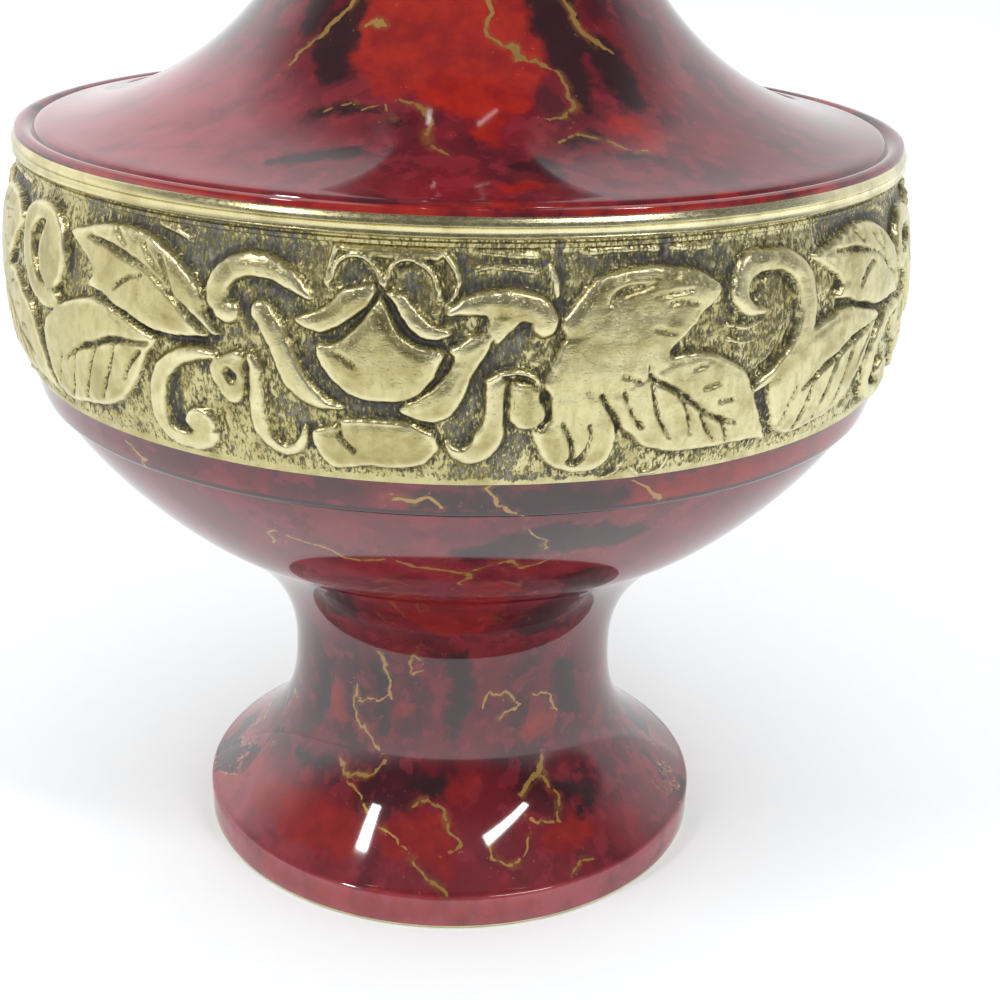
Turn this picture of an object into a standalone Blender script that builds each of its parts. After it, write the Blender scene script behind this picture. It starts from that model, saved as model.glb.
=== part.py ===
"""A footed brass vase, cast and turned in one piece, with roses, leaves and scrolls round its belly.

Metres, +Z up. The foot stands on z = 0 and the Z axis is the axis of turning. Azimuth 0 faces -Y.
"""

import math

import bmesh
import bpy
from mathutils import Vector
from mathutils.geometry import delaunay_2d_cdt

MM = 0.001

# Foot and stem; every height is measured from the form below, so each can change by itself
FOOT_RADIUS = 35.2 * MM
FOOT_EDGE_HEIGHT = 4.9 * MM
FOOT_RIM_WIDTH = 3.6 * MM
FLARE_HEIGHT = 21.3 * MM
STEM_RADIUS = 22.4 * MM
COVE_HEIGHT = 21.0 * MM

# Bowl, and the plain fillet between it and the relief band
BOWL_ROOT_RADIUS = 35.0 * MM
BOWL_HEIGHT = 19.1 * MM
BOWL_STEP = 1.0 * MM
FILLET_HEIGHT = 4.4 * MM
FILLET_DROP = 2.5 * MM

# Relief band; the drops say how far its ends lie inside the belly's widest ground
BELLY_RADIUS = 56.8 * MM
BAND_HEIGHT = 24.5 * MM
BAND_BOTTOM_DROP = 1.4 * MM
BAND_TOP_DROP = 1.9 * MM
RELIEF_HEIGHT = 1.2 * MM
RELIEF_EDGE = 0.7 * MM
GROOVE_DEPTH = 0.7 * MM
GROOVE_HALF_WIDTH = 0.45 * MM

# Plain ring and rolled rim above the band
NECKING_HEIGHT = 1.2 * MM
RING_STEP = 0.9 * MM
RING_HEIGHT = 1.9 * MM
RIM_HEIGHT = 1.2 * MM
RIM_SET_IN = 2.6 * MM

# Neck and mouth
NECK_RADIUS = 14.5 * MM
NECK_LENGTH = 53.0 * MM
MOUTH_RADIUS = 30.0 * MM
MOUTH_HEIGHT = 35.6 * MM
LIP_HEIGHT = 2.4 * MM
LIP_OVERHANG = 1.0 * MM

# Cast wall, the bowl's floor over the hollow foot, and the broken edges
WALL = 2.0 * MM
FLOOR_THICKNESS = 2.2 * MM
CHAMFER = 0.5 * MM

# Layout of the relief, and how finely the round forms are faceted
ROSES = 4
ROSE_AZIMUTH = -8.0
BODY_SIDES = 36
SEAM_SIDE = 4
OUTSIDE_STEPS = 4
INSIDE_STEPS = 3
GROUND_ROWS = 4
CURL_STEP = 46.0
LEAF_STEPS = 5
MERGE_DISTANCE = 0.001 * MM
SHARP_ANGLE = 35.0

# Levels above the ground, from the foot up
STEM_LEVEL = FOOT_EDGE_HEIGHT + FLARE_HEIGHT
BOWL_ROOT_LEVEL = STEM_LEVEL + COVE_HEIGHT
BOWL_TOP_LEVEL = BOWL_ROOT_LEVEL + BOWL_HEIGHT
BAND_LEVEL = BOWL_TOP_LEVEL + FILLET_HEIGHT
NECKING_LEVEL = BAND_LEVEL + BAND_HEIGHT
RING_LEVEL = NECKING_LEVEL + NECKING_HEIGHT
RIM_LEVEL = RING_LEVEL + RING_HEIGHT
SHOULDER_LEVEL = RIM_LEVEL + RIM_HEIGHT - CHAMFER
NECK_LEVEL = SHOULDER_LEVEL + NECK_LENGTH
LIP_LEVEL = NECK_LEVEL + MOUTH_HEIGHT
TOP_LEVEL = LIP_LEVEL + LIP_HEIGHT

# Radii that follow the belly
FILLET_RADIUS = BELLY_RADIUS - FILLET_DROP
BOWL_RADIUS = FILLET_RADIUS - BOWL_STEP
BAND_BOTTOM_RADIUS = BELLY_RADIUS - BAND_BOTTOM_DROP
BAND_TOP_RADIUS = BELLY_RADIUS - BAND_TOP_DROP
RING_RADIUS = BAND_TOP_RADIUS + RING_STEP
SHOULDER_RADIUS = RING_RADIUS - RIM_SET_IN

# The relief is drawn on the unrolled band, where one unit is a hundredth of the band's height
UNIT = BAND_HEIGHT / 100
EDGE = RELIEF_EDGE / UNIT
RIDGE_HALF_WIDTH = 5.0
TURN = 2 * math.pi * BELLY_RADIUS / UNIT
NEAR = 0.6


def curve_between(start, end, first_pull, last_pull, steps):
    """A cubic curve through (radius, height) points; each pull is a share of the span across and up."""
    start, end = Vector(start), Vector(end)
    span = end - start
    first = start + Vector((span.x * first_pull[0], span.y * first_pull[1]))
    last = start + Vector((span.x * last_pull[0], span.y * last_pull[1]))
    points = []
    for step in range(steps + 1):
        t = step / steps
        rest = 1 - t
        points.append(rest**3 * start + 3 * rest**2 * t * first + 3 * rest * t**2 * last + t**3 * end)
    return points


def set_in(path, distance):
    """The same path moved towards the axis by a wall's thickness. The path runs from top to bottom."""
    moved = []
    for index, point in enumerate(path):
        before = path[max(index - 1, 0)]
        after = path[min(index + 1, len(path) - 1)]
        normals = []
        for first, second in ((before, point), (point, after)):
            run = second - first
            if run.length > MERGE_DISTANCE:
                normals.append(Vector((run.y, -run.x)).normalized())
        normal = sum(normals, Vector((0, 0))).normalized()
        moved.append(point + normal * distance / max(normal.dot(normals[0]), 0.5))
    return moved


def flare_curve(steps):
    foot = (FOOT_RADIUS - CHAMFER, FOOT_EDGE_HEIGHT)
    return curve_between((STEM_RADIUS, STEM_LEVEL), foot, (0, 0.5), (0.24, 0.66), steps)


def cove_curve(steps):
    root = (BOWL_ROOT_RADIUS, BOWL_ROOT_LEVEL)
    return curve_between(root, (STEM_RADIUS, STEM_LEVEL), (0.67, 0.31), (1, 0.59), steps)


def bowl_curve(steps):
    root = (BOWL_ROOT_RADIUS, BOWL_ROOT_LEVEL)
    return curve_between((BOWL_RADIUS, BOWL_TOP_LEVEL), root, (0.19, 0.35), (0.70, 0.85), steps)


def neck_curve(steps):
    """From the neck's narrowest place down to the shoulder; it is the longest curve, so it has more steps."""
    shoulder = (SHOULDER_RADIUS, SHOULDER_LEVEL)
    return curve_between((NECK_RADIUS, NECK_LEVEL), shoulder, (0, 0.47), (0.23, 0.90), 2 * steps - 1)


def mouth_curve(steps):
    neck = (NECK_RADIUS, NECK_LEVEL)
    return curve_between((MOUTH_RADIUS, LIP_LEVEL), neck, (0.62, 0.22), (1, 0.55), steps)


def ground_radius(share):
    """Radius of the relief's ground at a share of the band's height, on one smooth curve."""
    bottom = BAND_BOTTOM_RADIUS * (1 - share) * (1 - 2 * share)
    middle = BELLY_RADIUS * 4 * share * (1 - share)
    return bottom + middle + BAND_TOP_RADIUS * share * (2 * share - 1)


def inner_wall():
    """The inside of the mouth, neck, belly and bowl, a wall's thickness in from the plain outside."""
    outside = mouth_curve(INSIDE_STEPS) + neck_curve(INSIDE_STEPS)[1:]
    outside += [Vector((ground_radius(share), BAND_LEVEL + share * BAND_HEIGHT)) for share in (1, 0.5, 0)]
    return set_in(outside + bowl_curve(INSIDE_STEPS), WALL)


def upper_profile():
    """From the middle of the bowl's floor, up inside, over the lip and down outside to the band's top."""
    inside = inner_wall()[::-1]
    floor = [Vector((0, BOWL_ROOT_LEVEL)), Vector((inside[0].x - WALL, BOWL_ROOT_LEVEL))]
    lip_radius = MOUTH_RADIUS + LIP_OVERHANG
    lip = [
        Vector((inside[-1].x + CHAMFER, TOP_LEVEL)),
        Vector((lip_radius - CHAMFER, TOP_LEVEL)),
        Vector((lip_radius, TOP_LEVEL - LIP_HEIGHT / 2)),
    ]
    outside = mouth_curve(OUTSIDE_STEPS) + neck_curve(OUTSIDE_STEPS)[1:]
    rim = [
        Vector((SHOULDER_RADIUS + CHAMFER, SHOULDER_LEVEL + CHAMFER / 2)),
        Vector((RING_RADIUS - 1.6 * CHAMFER, RIM_LEVEL + RIM_HEIGHT)),
        Vector((RING_RADIUS - CHAMFER / 2, RIM_LEVEL + RIM_HEIGHT / 2)),
        Vector((RING_RADIUS, RIM_LEVEL)),
        Vector((RING_RADIUS, RING_LEVEL)),
        Vector((BAND_TOP_RADIUS, RING_LEVEL - CHAMFER / 2)),
        Vector((BAND_TOP_RADIUS, NECKING_LEVEL)),
    ]
    return floor + inside + lip + outside + rim


def lower_profile():
    """From the band's bottom down the bowl and the stem, under the foot and up into the hollow stem."""
    ceiling = BOWL_ROOT_LEVEL - FLOOR_THICKNESS
    stem = cove_curve(OUTSIDE_STEPS) + flare_curve(OUTSIDE_STEPS)[1:]
    stem_wall = cove_curve(INSIDE_STEPS) + flare_curve(INSIDE_STEPS)[1:]
    hollow = [point for point in set_in(stem_wall, WALL) if FOOT_EDGE_HEIGHT < point.y < ceiling]
    fillet = [Vector((BAND_BOTTOM_RADIUS, BAND_LEVEL)), Vector((FILLET_RADIUS, BOWL_TOP_LEVEL + CHAMFER))]
    foot = [
        Vector((FOOT_RADIUS, FOOT_EDGE_HEIGHT - CHAMFER)),
        Vector((FOOT_RADIUS, CHAMFER)),
        Vector((FOOT_RADIUS - CHAMFER, 0)),
        Vector((FOOT_RADIUS - FOOT_RIM_WIDTH, 0)),
    ]
    under_floor = [Vector((hollow[0].x, ceiling)), Vector((0, ceiling))]
    return fillet + bowl_curve(OUTSIDE_STEPS) + stem[1:] + foot + hollow[::-1] + under_floor


def curl(centre, radii, angles, half_width, shrink=0.0, lead=None):
    """A strand along an oval spiral, as (x, y, half width) points in band units."""
    steps = max(2, round(abs(angles[1] - angles[0]) / CURL_STEP))
    strand = [(*lead, half_width)] if lead else []
    for step in range(steps + 1):
        share = step / steps
        angle = math.radians(angles[0] + (angles[1] - angles[0]) * share)
        size = 1 - shrink * share
        x = centre[0] + radii[0] * size * math.cos(angle)
        y = centre[1] + radii[1] * size * math.sin(angle)
        strand.append((x, y, half_width))
    return strand


def bead(centre, radius):
    """A round boss: a short stroke as wide as it is long."""
    reach = 0.35 * radius
    return [(centre[0], centre[1] + side * reach, 0.8 * radius) for side in (-1, 1)]


def petal(centre, half_width, half_height):
    """A broad rounded petal lying across the rose."""
    reach = half_width - half_height
    return [(centre[0] + side * reach, centre[1], half_height) for side in (-1, 0, 1)]


def leaf_point(root, tip, bend, share):
    """A point on the midrib, which bows to one side by a share of the leaf's length."""
    run = Vector(tip) - Vector(root)
    side = Vector((run.y, -run.x))
    return Vector(root) + run * share + side * bend * math.sin(math.pi * share)


def leaf_width(half_width, share):
    return half_width * math.sin(math.pi * (0.08 + 0.88 * share**0.85))


def leaf(root, tip, half_width, bend):
    """A leaf's stroke from its root to its tip, widest in the middle."""
    points = []
    for step in range(LEAF_STEPS + 1):
        share = step / LEAF_STEPS
        point = leaf_point(root, tip, bend, share)
        points.append((point.x, point.y, leaf_width(half_width, share)))
    return points


def leaf_grooves(root, tip, half_width, bend, side):
    """The midrib and the side veins of a leaf, each a line of points from the midrib towards one edge."""
    grooves = [[leaf_point(root, tip, bend, share) for share in (0.12, 0.45, 0.8)]]
    across = Vector((Vector(tip).y - root[1], root[0] - tip[0])).normalized()
    for start in (0.2, 0.4, 0.6):
        inner = leaf_point(root, tip, bend, start) + across * side * 0.22 * leaf_width(half_width, start)
        reach = 0.78 * leaf_width(half_width, start + 0.12)
        outer = leaf_point(root, tip, bend, start + 0.12) + across * side * reach
        grooves.append([inner, (inner + outer) / 2, outer])
    return grooves


UPPER_LEAF = {"root": (-74, 58), "tip": (-164, 88), "half_width": 18, "bend": 0.07}
LOWER_LEAF = {"root": (-100, 50), "tip": (-198, 19), "half_width": 24, "bend": 0.02}


def side_strokes():
    """The strands and leaves left of a rose's axis."""
    return [
        curl((0, 62), (30, 23), (155, 96), 4.5),
        curl((-10, 86), (10, 10.5), (180, 10), 2.2),
        curl((0, 71), (49, 36), (180, 250), 4),
        curl((-43, 26), (11, 15), (180, 370), 2.6, lead=(-54, 49)),
        curl((-84, 29), (23, 22), (100, 330), 4.6, shrink=0.3, lead=(-70, 53)),
        bead((-81, 18), 8),
        curl((-54, 78), (22, 16), (10, 215), 2.8, shrink=0.15),
        bead((-67, 70), 7),
        [(-57, 54, 2.5), (-65, 44, 8), (-66, 33, 4)],
        leaf(**UPPER_LEAF),
        leaf(**LOWER_LEAF),
    ]


def hook_stroke():
    """The hooked strand that fills the gap between two roses' leaves."""
    return curl((-189, 74), (21, 18), (250, -60), 6.4, shrink=0.2, lead=(-171, 53))


def rose_strokes():
    """The rose's cup with its point, and the rolled petal below it."""
    return [petal((0, 60), 27, 21), [(0, 62, 18), (0, 80, 3)], petal((-4, 19), 28, 11.5)]


def mirrored(points, side, shift):
    """A stroke or groove reflected about the rose's axis for side -1, and moved round the band."""
    return [(point[0] * side + shift, *point[1:]) for point in points]


def relief_drawing():
    """Every stroke and groove of the band, with a rose's worth more past each side of the seam."""
    strokes, grooves = [], []
    for rose in range(-ROSES, 2):
        shift = rose * TURN / ROSES
        strokes += [mirrored(stroke, 1, shift) for stroke in rose_strokes()]
        for side in (1, -1):
            strokes += [mirrored(stroke, side, shift) for stroke in side_strokes()]
            for groove in leaf_grooves(side=1, **UPPER_LEAF) + leaf_grooves(side=-1, **LOWER_LEAF):
                grooves.append(mirrored([tuple(point) for point in groove], side, shift))
            if rose % ROSES % 2 == 0:
                strokes.append(mirrored(hook_stroke(), side, shift))
    return strokes, grooves


def distance_to_line(point, first, second):
    """Distance from a point to a straight run, and where along the run its nearest point is."""
    run = second - first
    share = max(0.0, min(1.0, (point - first).dot(run) / run.length_squared))
    return (point - first - run * share).length, share


def stroke_height(point, stroke):
    """Share of the relief's height that a stroke gives a point: 1 on top, 0 at its outline."""
    best = 0.0
    for first, second in zip(stroke, stroke[1:]):
        distance, share = distance_to_line(point, Vector(first[:2]), Vector(second[:2]))
        half_width = first[2] + (second[2] - first[2]) * share
        edge = half_width if half_width <= RIDGE_HALF_WIDTH else EDGE
        best = max(best, (half_width - distance) / edge)
    return min(best, 1.0)


def relief_at(point, strokes, grooves):
    """Height of the relief above its ground."""
    height = max(stroke_height(point, stroke) for stroke in strokes)
    cut = 0.0
    for groove in grooves:
        for first, second in zip(groove, groove[1:]):
            distance = distance_to_line(point, Vector(first), Vector(second))[0]
            cut = max(cut, 1 - distance * UNIT / GROOVE_HALF_WIDTH)
    return height * RELIEF_HEIGHT - cut * GROOVE_DEPTH * height


def beside(points, offsets):
    """Points beside a line, each set off by its own distance to the line's left."""
    moved = []
    for index, point in enumerate(points):
        run = points[min(index + 1, len(points) - 1)] - points[max(index - 1, 0)]
        moved.append(point + Vector((-run.y, run.x)).normalized() * offsets[index])
    return moved


def stroke_loops(stroke):
    """Closed outline of a stroke at the ground, and the lines on top where its edge ends."""
    spine = [Vector(point[:2]) for point in stroke]
    widths = [point[2] for point in stroke]
    head = spine[0] + (spine[0] - spine[1]).normalized() * widths[0]
    tail = spine[-1] + (spine[-1] - spine[-2]).normalized() * widths[-1]
    left = beside(spine, widths)
    right = beside(spine, [-width for width in widths])
    outline = [head] + left + [tail] + right[::-1] + [head]
    if max(widths) <= RIDGE_HALF_WIDTH:
        return [outline, spine]
    tops = [max(width - EDGE, 0.2 * width) for width in widths]
    top_right = beside(spine, [-width for width in tops])
    top = beside(spine, tops) + top_right[::-1]
    return [outline, top + top[:1]]


def groove_loops(groove):
    """A groove's bottom line and the lens-shaped outline round it."""
    spine = [Vector(point) for point in groove]
    half = GROOVE_HALF_WIDTH / UNIT
    widths = [0.0] + [half] * (len(spine) - 2) + [0.0]
    left = beside(spine, widths)
    right = beside(spine, [-width for width in widths])
    return [left + right[-2::-1], spine]


def band_mesh():
    """Triangles of the unrolled relief band, with the height of each corner."""
    strokes, grooves = relief_drawing()
    side_width = TURN / BODY_SIDES
    seam = SEAM_SIDE * side_width - ROSE_AZIMUTH / 360 * TURN
    start = seam - TURN
    points, edges = [], []

    def add_line(line):
        first = len(points)
        points.extend(line)
        edges.extend((first + index, first + index + 1) for index in range(len(line) - 1))

    across = [start + side_width * side for side in range(BODY_SIDES + 1)]
    rows = [100 * row / GROUND_ROWS for row in range(GROUND_ROWS + 1)]
    for row in (rows[0], rows[-1]):
        add_line([Vector((x, row)) for x in across])
    for x in (start, seam):
        add_line([Vector((x, row)) for row in rows])
    for row in rows[1:-1]:
        points.extend(Vector((x, row)) for x in across[1:-1])
    loops = [loop for stroke in strokes for loop in stroke_loops(stroke)]
    loops += [loop for groove in grooves for loop in groove_loops(groove)]
    for loop in loops:
        left = min(point.x for point in loop)
        right = max(point.x for point in loop)
        if right > start - side_width and left < seam + side_width:
            add_line(loop)
    corners, _, faces, _, _, _ = delaunay_2d_cdt(points, edges, [], 0, NEAR, False)
    kept = [face for face in faces if start < sum(corners[index].x for index in face) / 3 < seam]
    used = sorted({index for face in kept for index in face})
    heights = {index: relief_at(corners[index], strokes, grooves) for index in used}
    return corners, kept, heights


def on_body(corner, height):
    """A point of the unrolled band wrapped round the belly."""
    angle = math.radians(ROSE_AZIMUTH) + corner.x / TURN * 2 * math.pi
    radius = ground_radius(corner.y / 100) + height
    return Vector((radius * math.sin(angle), -radius * math.cos(angle), BAND_LEVEL + corner.y * UNIT))


def add_band(vase):
    corners, faces, heights = band_mesh()
    placed = {index: vase.verts.new(on_body(corners[index], height)) for index, height in heights.items()}
    for face in faces:
        vase.faces.new([placed[index] for index in face])


def add_turned(vase, profile):
    """A surface turned full round from a profile that starts in the vertical plane facing -Y."""
    line = [vase.verts.new((0, -point.x, point.y)) for point in profile]
    edges = [vase.edges.new(pair) for pair in zip(line, line[1:])]
    full_turn = {"angle": 2 * math.pi, "steps": BODY_SIDES, "use_merge": True}
    bmesh.ops.spin(vase, geom=line + edges, cent=(0, 0, 0), axis=(0, 0, 1), **full_turn)


def brass_material():
    material = bpy.data.materials.new("cast_brass")
    material.use_nodes = True
    shader = material.node_tree.nodes["Principled BSDF"]
    shader.inputs["Base Color"].default_value = (0.55, 0.46, 0.2, 1)
    shader.inputs["Metallic"].default_value = 1.0
    shader.inputs["Roughness"].default_value = 0.35
    return material


def build_vase():
    vase = bmesh.new()
    add_turned(vase, upper_profile())
    add_turned(vase, lower_profile())
    add_band(vase)
    bmesh.ops.remove_doubles(vase, verts=vase.verts, dist=MERGE_DISTANCE)
    bmesh.ops.dissolve_degenerate(vase, dist=MERGE_DISTANCE / 10, edges=vase.edges)
    bmesh.ops.recalc_face_normals(vase, faces=vase.faces)
    bmesh.ops.triangulate(vase, faces=vase.faces)
    mesh = bpy.data.meshes.new("vase")
    vase.to_mesh(mesh)
    vase.free()
    mesh.shade_smooth()
    mesh.set_sharp_from_angle(angle=math.radians(SHARP_ANGLE))
    mesh.materials.append(brass_material())
    body = bpy.data.objects.new("vase", mesh)
    bpy.context.collection.objects.link(body)
    print("vase:", len(mesh.polygons), "triangles")


for old in list(bpy.data.objects):
    bpy.data.objects.remove(old)
build_vase()
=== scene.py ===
# %% [markdown]
# # A lacquered brass vase
#
# The vase is cast in brass, turned on a lathe, and chased by hand round its belly. The plain parts
# are then coated with red and black marbled lacquer, and the relief is left as bare metal. This
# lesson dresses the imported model: it turns the body again with more steps, carves the relief into a
# fine mesh, and builds the lacquer and the brass as procedural materials.
#
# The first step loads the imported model, which fixes the size and the place of everything.

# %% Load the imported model
import math

import bmesh
import bpy
import numpy as np
from mathutils import Matrix, Vector


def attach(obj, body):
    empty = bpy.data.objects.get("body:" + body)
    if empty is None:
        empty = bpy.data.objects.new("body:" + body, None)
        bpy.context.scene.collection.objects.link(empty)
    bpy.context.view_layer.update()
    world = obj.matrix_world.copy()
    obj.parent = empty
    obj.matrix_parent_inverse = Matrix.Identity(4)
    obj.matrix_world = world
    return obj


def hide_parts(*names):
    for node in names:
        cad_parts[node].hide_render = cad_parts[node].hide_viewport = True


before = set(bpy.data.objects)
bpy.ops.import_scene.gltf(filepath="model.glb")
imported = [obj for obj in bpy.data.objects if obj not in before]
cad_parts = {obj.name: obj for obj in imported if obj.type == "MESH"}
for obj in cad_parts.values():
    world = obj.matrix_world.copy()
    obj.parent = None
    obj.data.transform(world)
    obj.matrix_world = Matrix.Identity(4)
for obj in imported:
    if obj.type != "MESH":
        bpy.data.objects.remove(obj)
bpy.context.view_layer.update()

MM = 0.001

# %% [markdown]
# ## The sizes
#
# A turned vase is known by a few radii and by the heights between them. They are the same as in the
# model, in millimetres, and each height is stacked on the form below it. Where the model has flat
# facets, the curves here get many more steps. The shoulder also swells by half a millimetre towards
# its edge, outside a given radius.

# %% Sizes of the turned forms
FOOT_RADIUS = 35.2
FOOT_EDGE_HEIGHT = 4.9
FOOT_RIM_WIDTH = 3.6
STEM_RADIUS = 22.4
BOWL_ROOT_RADIUS = 35.0
BELLY_RADIUS = 56.8
BAND_BOTTOM_RADIUS = BELLY_RADIUS - 1.4
BAND_TOP_RADIUS = BELLY_RADIUS - 1.9
FILLET_RADIUS = BELLY_RADIUS - 2.5
BOWL_RADIUS = FILLET_RADIUS - 1.0
RING_RADIUS = BAND_TOP_RADIUS + 0.9
SHOULDER_RADIUS = RING_RADIUS - 2.6
NECK_RADIUS = 14.5
MOUTH_RADIUS = 30.0
LIP_OVERHANG = 1.0
WALL = 2.0
EDGE = 0.5
HOLLOW_START = 5
SWELL_START, SWELL_RUN, SWELL = 38, 15, 0.55

BAND_HEIGHT = 24.5
STEM_LEVEL = FOOT_EDGE_HEIGHT + 21.3
BOWL_ROOT_LEVEL = STEM_LEVEL + 21.0
BOWL_TOP_LEVEL = BOWL_ROOT_LEVEL + 19.1
BAND_LEVEL = BOWL_TOP_LEVEL + 4.4
NECKING_LEVEL = BAND_LEVEL + BAND_HEIGHT
RING_LEVEL = NECKING_LEVEL + 1.2
RIM_LEVEL = RING_LEVEL + 1.9
SHOULDER_LEVEL = RIM_LEVEL + 0.7
NECK_LEVEL = SHOULDER_LEVEL + 53.0
LIP_LEVEL = NECK_LEVEL + 35.6
TOP_LEVEL = LIP_LEVEL + 2.4
CEILING_LEVEL = BOWL_ROOT_LEVEL - 2.2
print("stacked height, mm:", round(TOP_LEVEL, 1))

# %% [markdown]
# ## Curves for the lathe
#
# The foot's flare, the cove, the bowl, the neck and the mouth are each one smooth sweep, so each is
# a cubic curve between two points. The two pulls say how far it leans towards the far end, as
# shares of the span across and up. At its outer end the shoulder turns down into a fine groove. The
# whole outer profile is kept too, to find a radius from a height.

# %% A curve between two points of the profile
def curve_between(start, end, first_pull, last_pull, steps):
    """Points (radius, height) of a cubic curve; each pull is a share of the span across and up."""
    start, end = np.array(start, float), np.array(end, float)
    first = start + (end - start) * first_pull
    last = start + (end - start) * last_pull
    t = np.linspace(0, 1, steps + 1)[:, None]
    rest = 1 - t
    curve = rest**3 * start + 3 * rest**2 * t * first + 3 * rest * t**2 * last + t**3 * end
    return [tuple(point) for point in curve]


def set_in(path, distance):
    """The same path, from top to bottom, moved towards the axis by a wall's thickness."""
    points = np.array(path)
    run = np.gradient(points, axis=0)
    run /= np.hypot(run[:, :1], run[:, 1:])
    return [tuple(point) for point in points + distance * np.stack([run[:, 1], -run[:, 0]], axis=1)]


def ground_radius(share):
    """Radius of the relief's ground at a share of the band's height, on one smooth curve."""
    bottom = BAND_BOTTOM_RADIUS * (1 - share) * (1 - 2 * share)
    middle = BELLY_RADIUS * 4 * share * (1 - share)
    return bottom + middle + BAND_TOP_RADIUS * share * (2 * share - 1)


STEM = (STEM_RADIUS, STEM_LEVEL)
ROOT = (BOWL_ROOT_RADIUS, BOWL_ROOT_LEVEL)
SHOULDER = (SHOULDER_RADIUS, SHOULDER_LEVEL)
NECK = (NECK_RADIUS, NECK_LEVEL)
flare = curve_between(STEM, (FOOT_RADIUS - EDGE, FOOT_EDGE_HEIGHT), (0, 0.5), (0.24, 0.66), 44)
cove = curve_between(ROOT, STEM, (0.67, 0.31), (1, 0.59), 36)
bowl = curve_between((BOWL_RADIUS, BOWL_TOP_LEVEL), ROOT, (0.19, 0.35), (0.70, 0.85), 36)
neck = curve_between(NECK, SHOULDER, (0, 0.47), (0.23, 0.90), 96)[:-1]
neck = [
    (radius, height + SWELL * (max(radius - SWELL_START, 0) / SWELL_RUN) ** 2)
    for radius, height in neck
]
neck += [
    (SHOULDER_RADIUS - 0.5, SHOULDER_LEVEL + 0.56),
    (SHOULDER_RADIUS - 0.25, SHOULDER_LEVEL + 0.4),
    (SHOULDER_RADIUS - 0.1, SHOULDER_LEVEL + 0.14),
    SHOULDER,
]
mouth = curve_between((MOUTH_RADIUS, LIP_LEVEL), NECK, (0.62, 0.22), (1, 0.55), 30)
rim_face = [(RING_RADIUS - 0.45, SHOULDER_LEVEL - 0.05)]
fillet_face = [(BAND_BOTTOM_RADIUS - 0.1, BAND_LEVEL), (FILLET_RADIUS, BOWL_TOP_LEVEL + 0.85)]
outside = np.array(mouth + neck[1:] + rim_face + fillet_face + bowl + cove[1:] + flare[1:])[::-1]
print("profile points:", len(outside))

# %% [markdown]
# ## Turning
#
# A lathe makes a form by spinning its outline round an axis, and Blender's spin operator does the
# same. The outlines here are closed loops that run outside and back along the inner wall, so that
# each piece is a solid wall of true thickness. Spinning hundreds of steps one by one is slow, so a
# narrow wedge is spun, and then doubled, turned on and doubled again until it has gone all the way.
# A full turn is merged where it meets itself. The belly's piece is only half a turn, so its two cut
# ends are filled. Edges that turn by more than a set angle stay sharp. Azimuth 0 faces -Y.

# %% Spin an outline into a piece
DOUBLINGS = 4
SHARP_TURN = math.radians(38)
MERGE_DISTANCE = 0.002 * MM


def turned(name, outline, steps, first=0.0, turn=360.0):
    """A solid of revolution from a loop of (radius, height) points in millimetres."""
    bm = bmesh.new()
    wedge = math.radians(turn) / 2**DOUBLINGS
    angle = math.radians(first)
    side = Vector((math.sin(angle), -math.cos(angle), 0))
    loop = [bm.verts.new((side * radius + Vector((0, 0, height))) * MM) for radius, height in outline]
    edges = [bm.edges.new(pair) for pair in zip(loop, loop[1:])]
    if outline[0][0] > 0:
        edges.append(bm.edges.new((loop[-1], loop[0])))
    bmesh.ops.spin(bm, geom=loop + edges, cent=(0, 0, 0), axis=(0, 0, 1), angle=wedge,
                   steps=steps // 2**DOUBLINGS, use_merge=False)
    for doubling in range(DOUBLINGS):
        copied = bmesh.ops.duplicate(bm, geom=bm.verts[:] + bm.edges[:] + bm.faces[:])["geom"]
        moved = [part for part in copied if isinstance(part, bmesh.types.BMVert)]
        onward = Matrix.Rotation(wedge * 2**doubling, 3, "Z")
        bmesh.ops.rotate(bm, verts=moved, cent=(0, 0, 0), matrix=onward)
    bmesh.ops.remove_doubles(bm, verts=bm.verts, dist=MERGE_DISTANCE)
    cut_ends = [edge for edge in bm.edges if edge.is_boundary]
    for face in bm.faces:
        face.smooth = True
    for edge in bm.edges:
        edge.smooth = edge.is_boundary or edge.calc_face_angle() < SHARP_TURN
    if cut_ends:
        for face in bmesh.ops.holes_fill(bm, edges=cut_ends, sides=0)["faces"]:
            face.smooth = False
        for edge in cut_ends:
            edge.smooth = False
    bmesh.ops.recalc_face_normals(bm, faces=bm.faces)
    mesh = bpy.data.meshes.new(name)
    bm.to_mesh(mesh)
    bm.free()
    piece = bpy.data.objects.new(name, mesh)
    bpy.context.collection.objects.link(piece)
    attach(piece, "root")
    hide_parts("vase")
    print(name, "triangles:", sum(len(polygon.vertices) - 2 for polygon in mesh.polygons))
    return piece


def places(piece):
    """Each vertex's azimuth in degrees, radius and height in millimetres."""
    spots = np.empty(len(piece.data.vertices) * 3, np.float32)
    piece.data.vertices.foreach_get("co", spots)
    spots = spots.reshape(-1, 3) / MM
    azimuth = np.degrees(np.arctan2(spots[:, 0], -spots[:, 1]))
    return azimuth, np.hypot(spots[:, 0], spots[:, 1]), spots[:, 2]


def keep_value(piece, name, values):
    """Store one number for each vertex, for a material to read."""
    layer = piece.data.attributes.new(name, "FLOAT", "POINT")
    layer.data.foreach_set("value", np.ascontiguousarray(values, np.float32))


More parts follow.
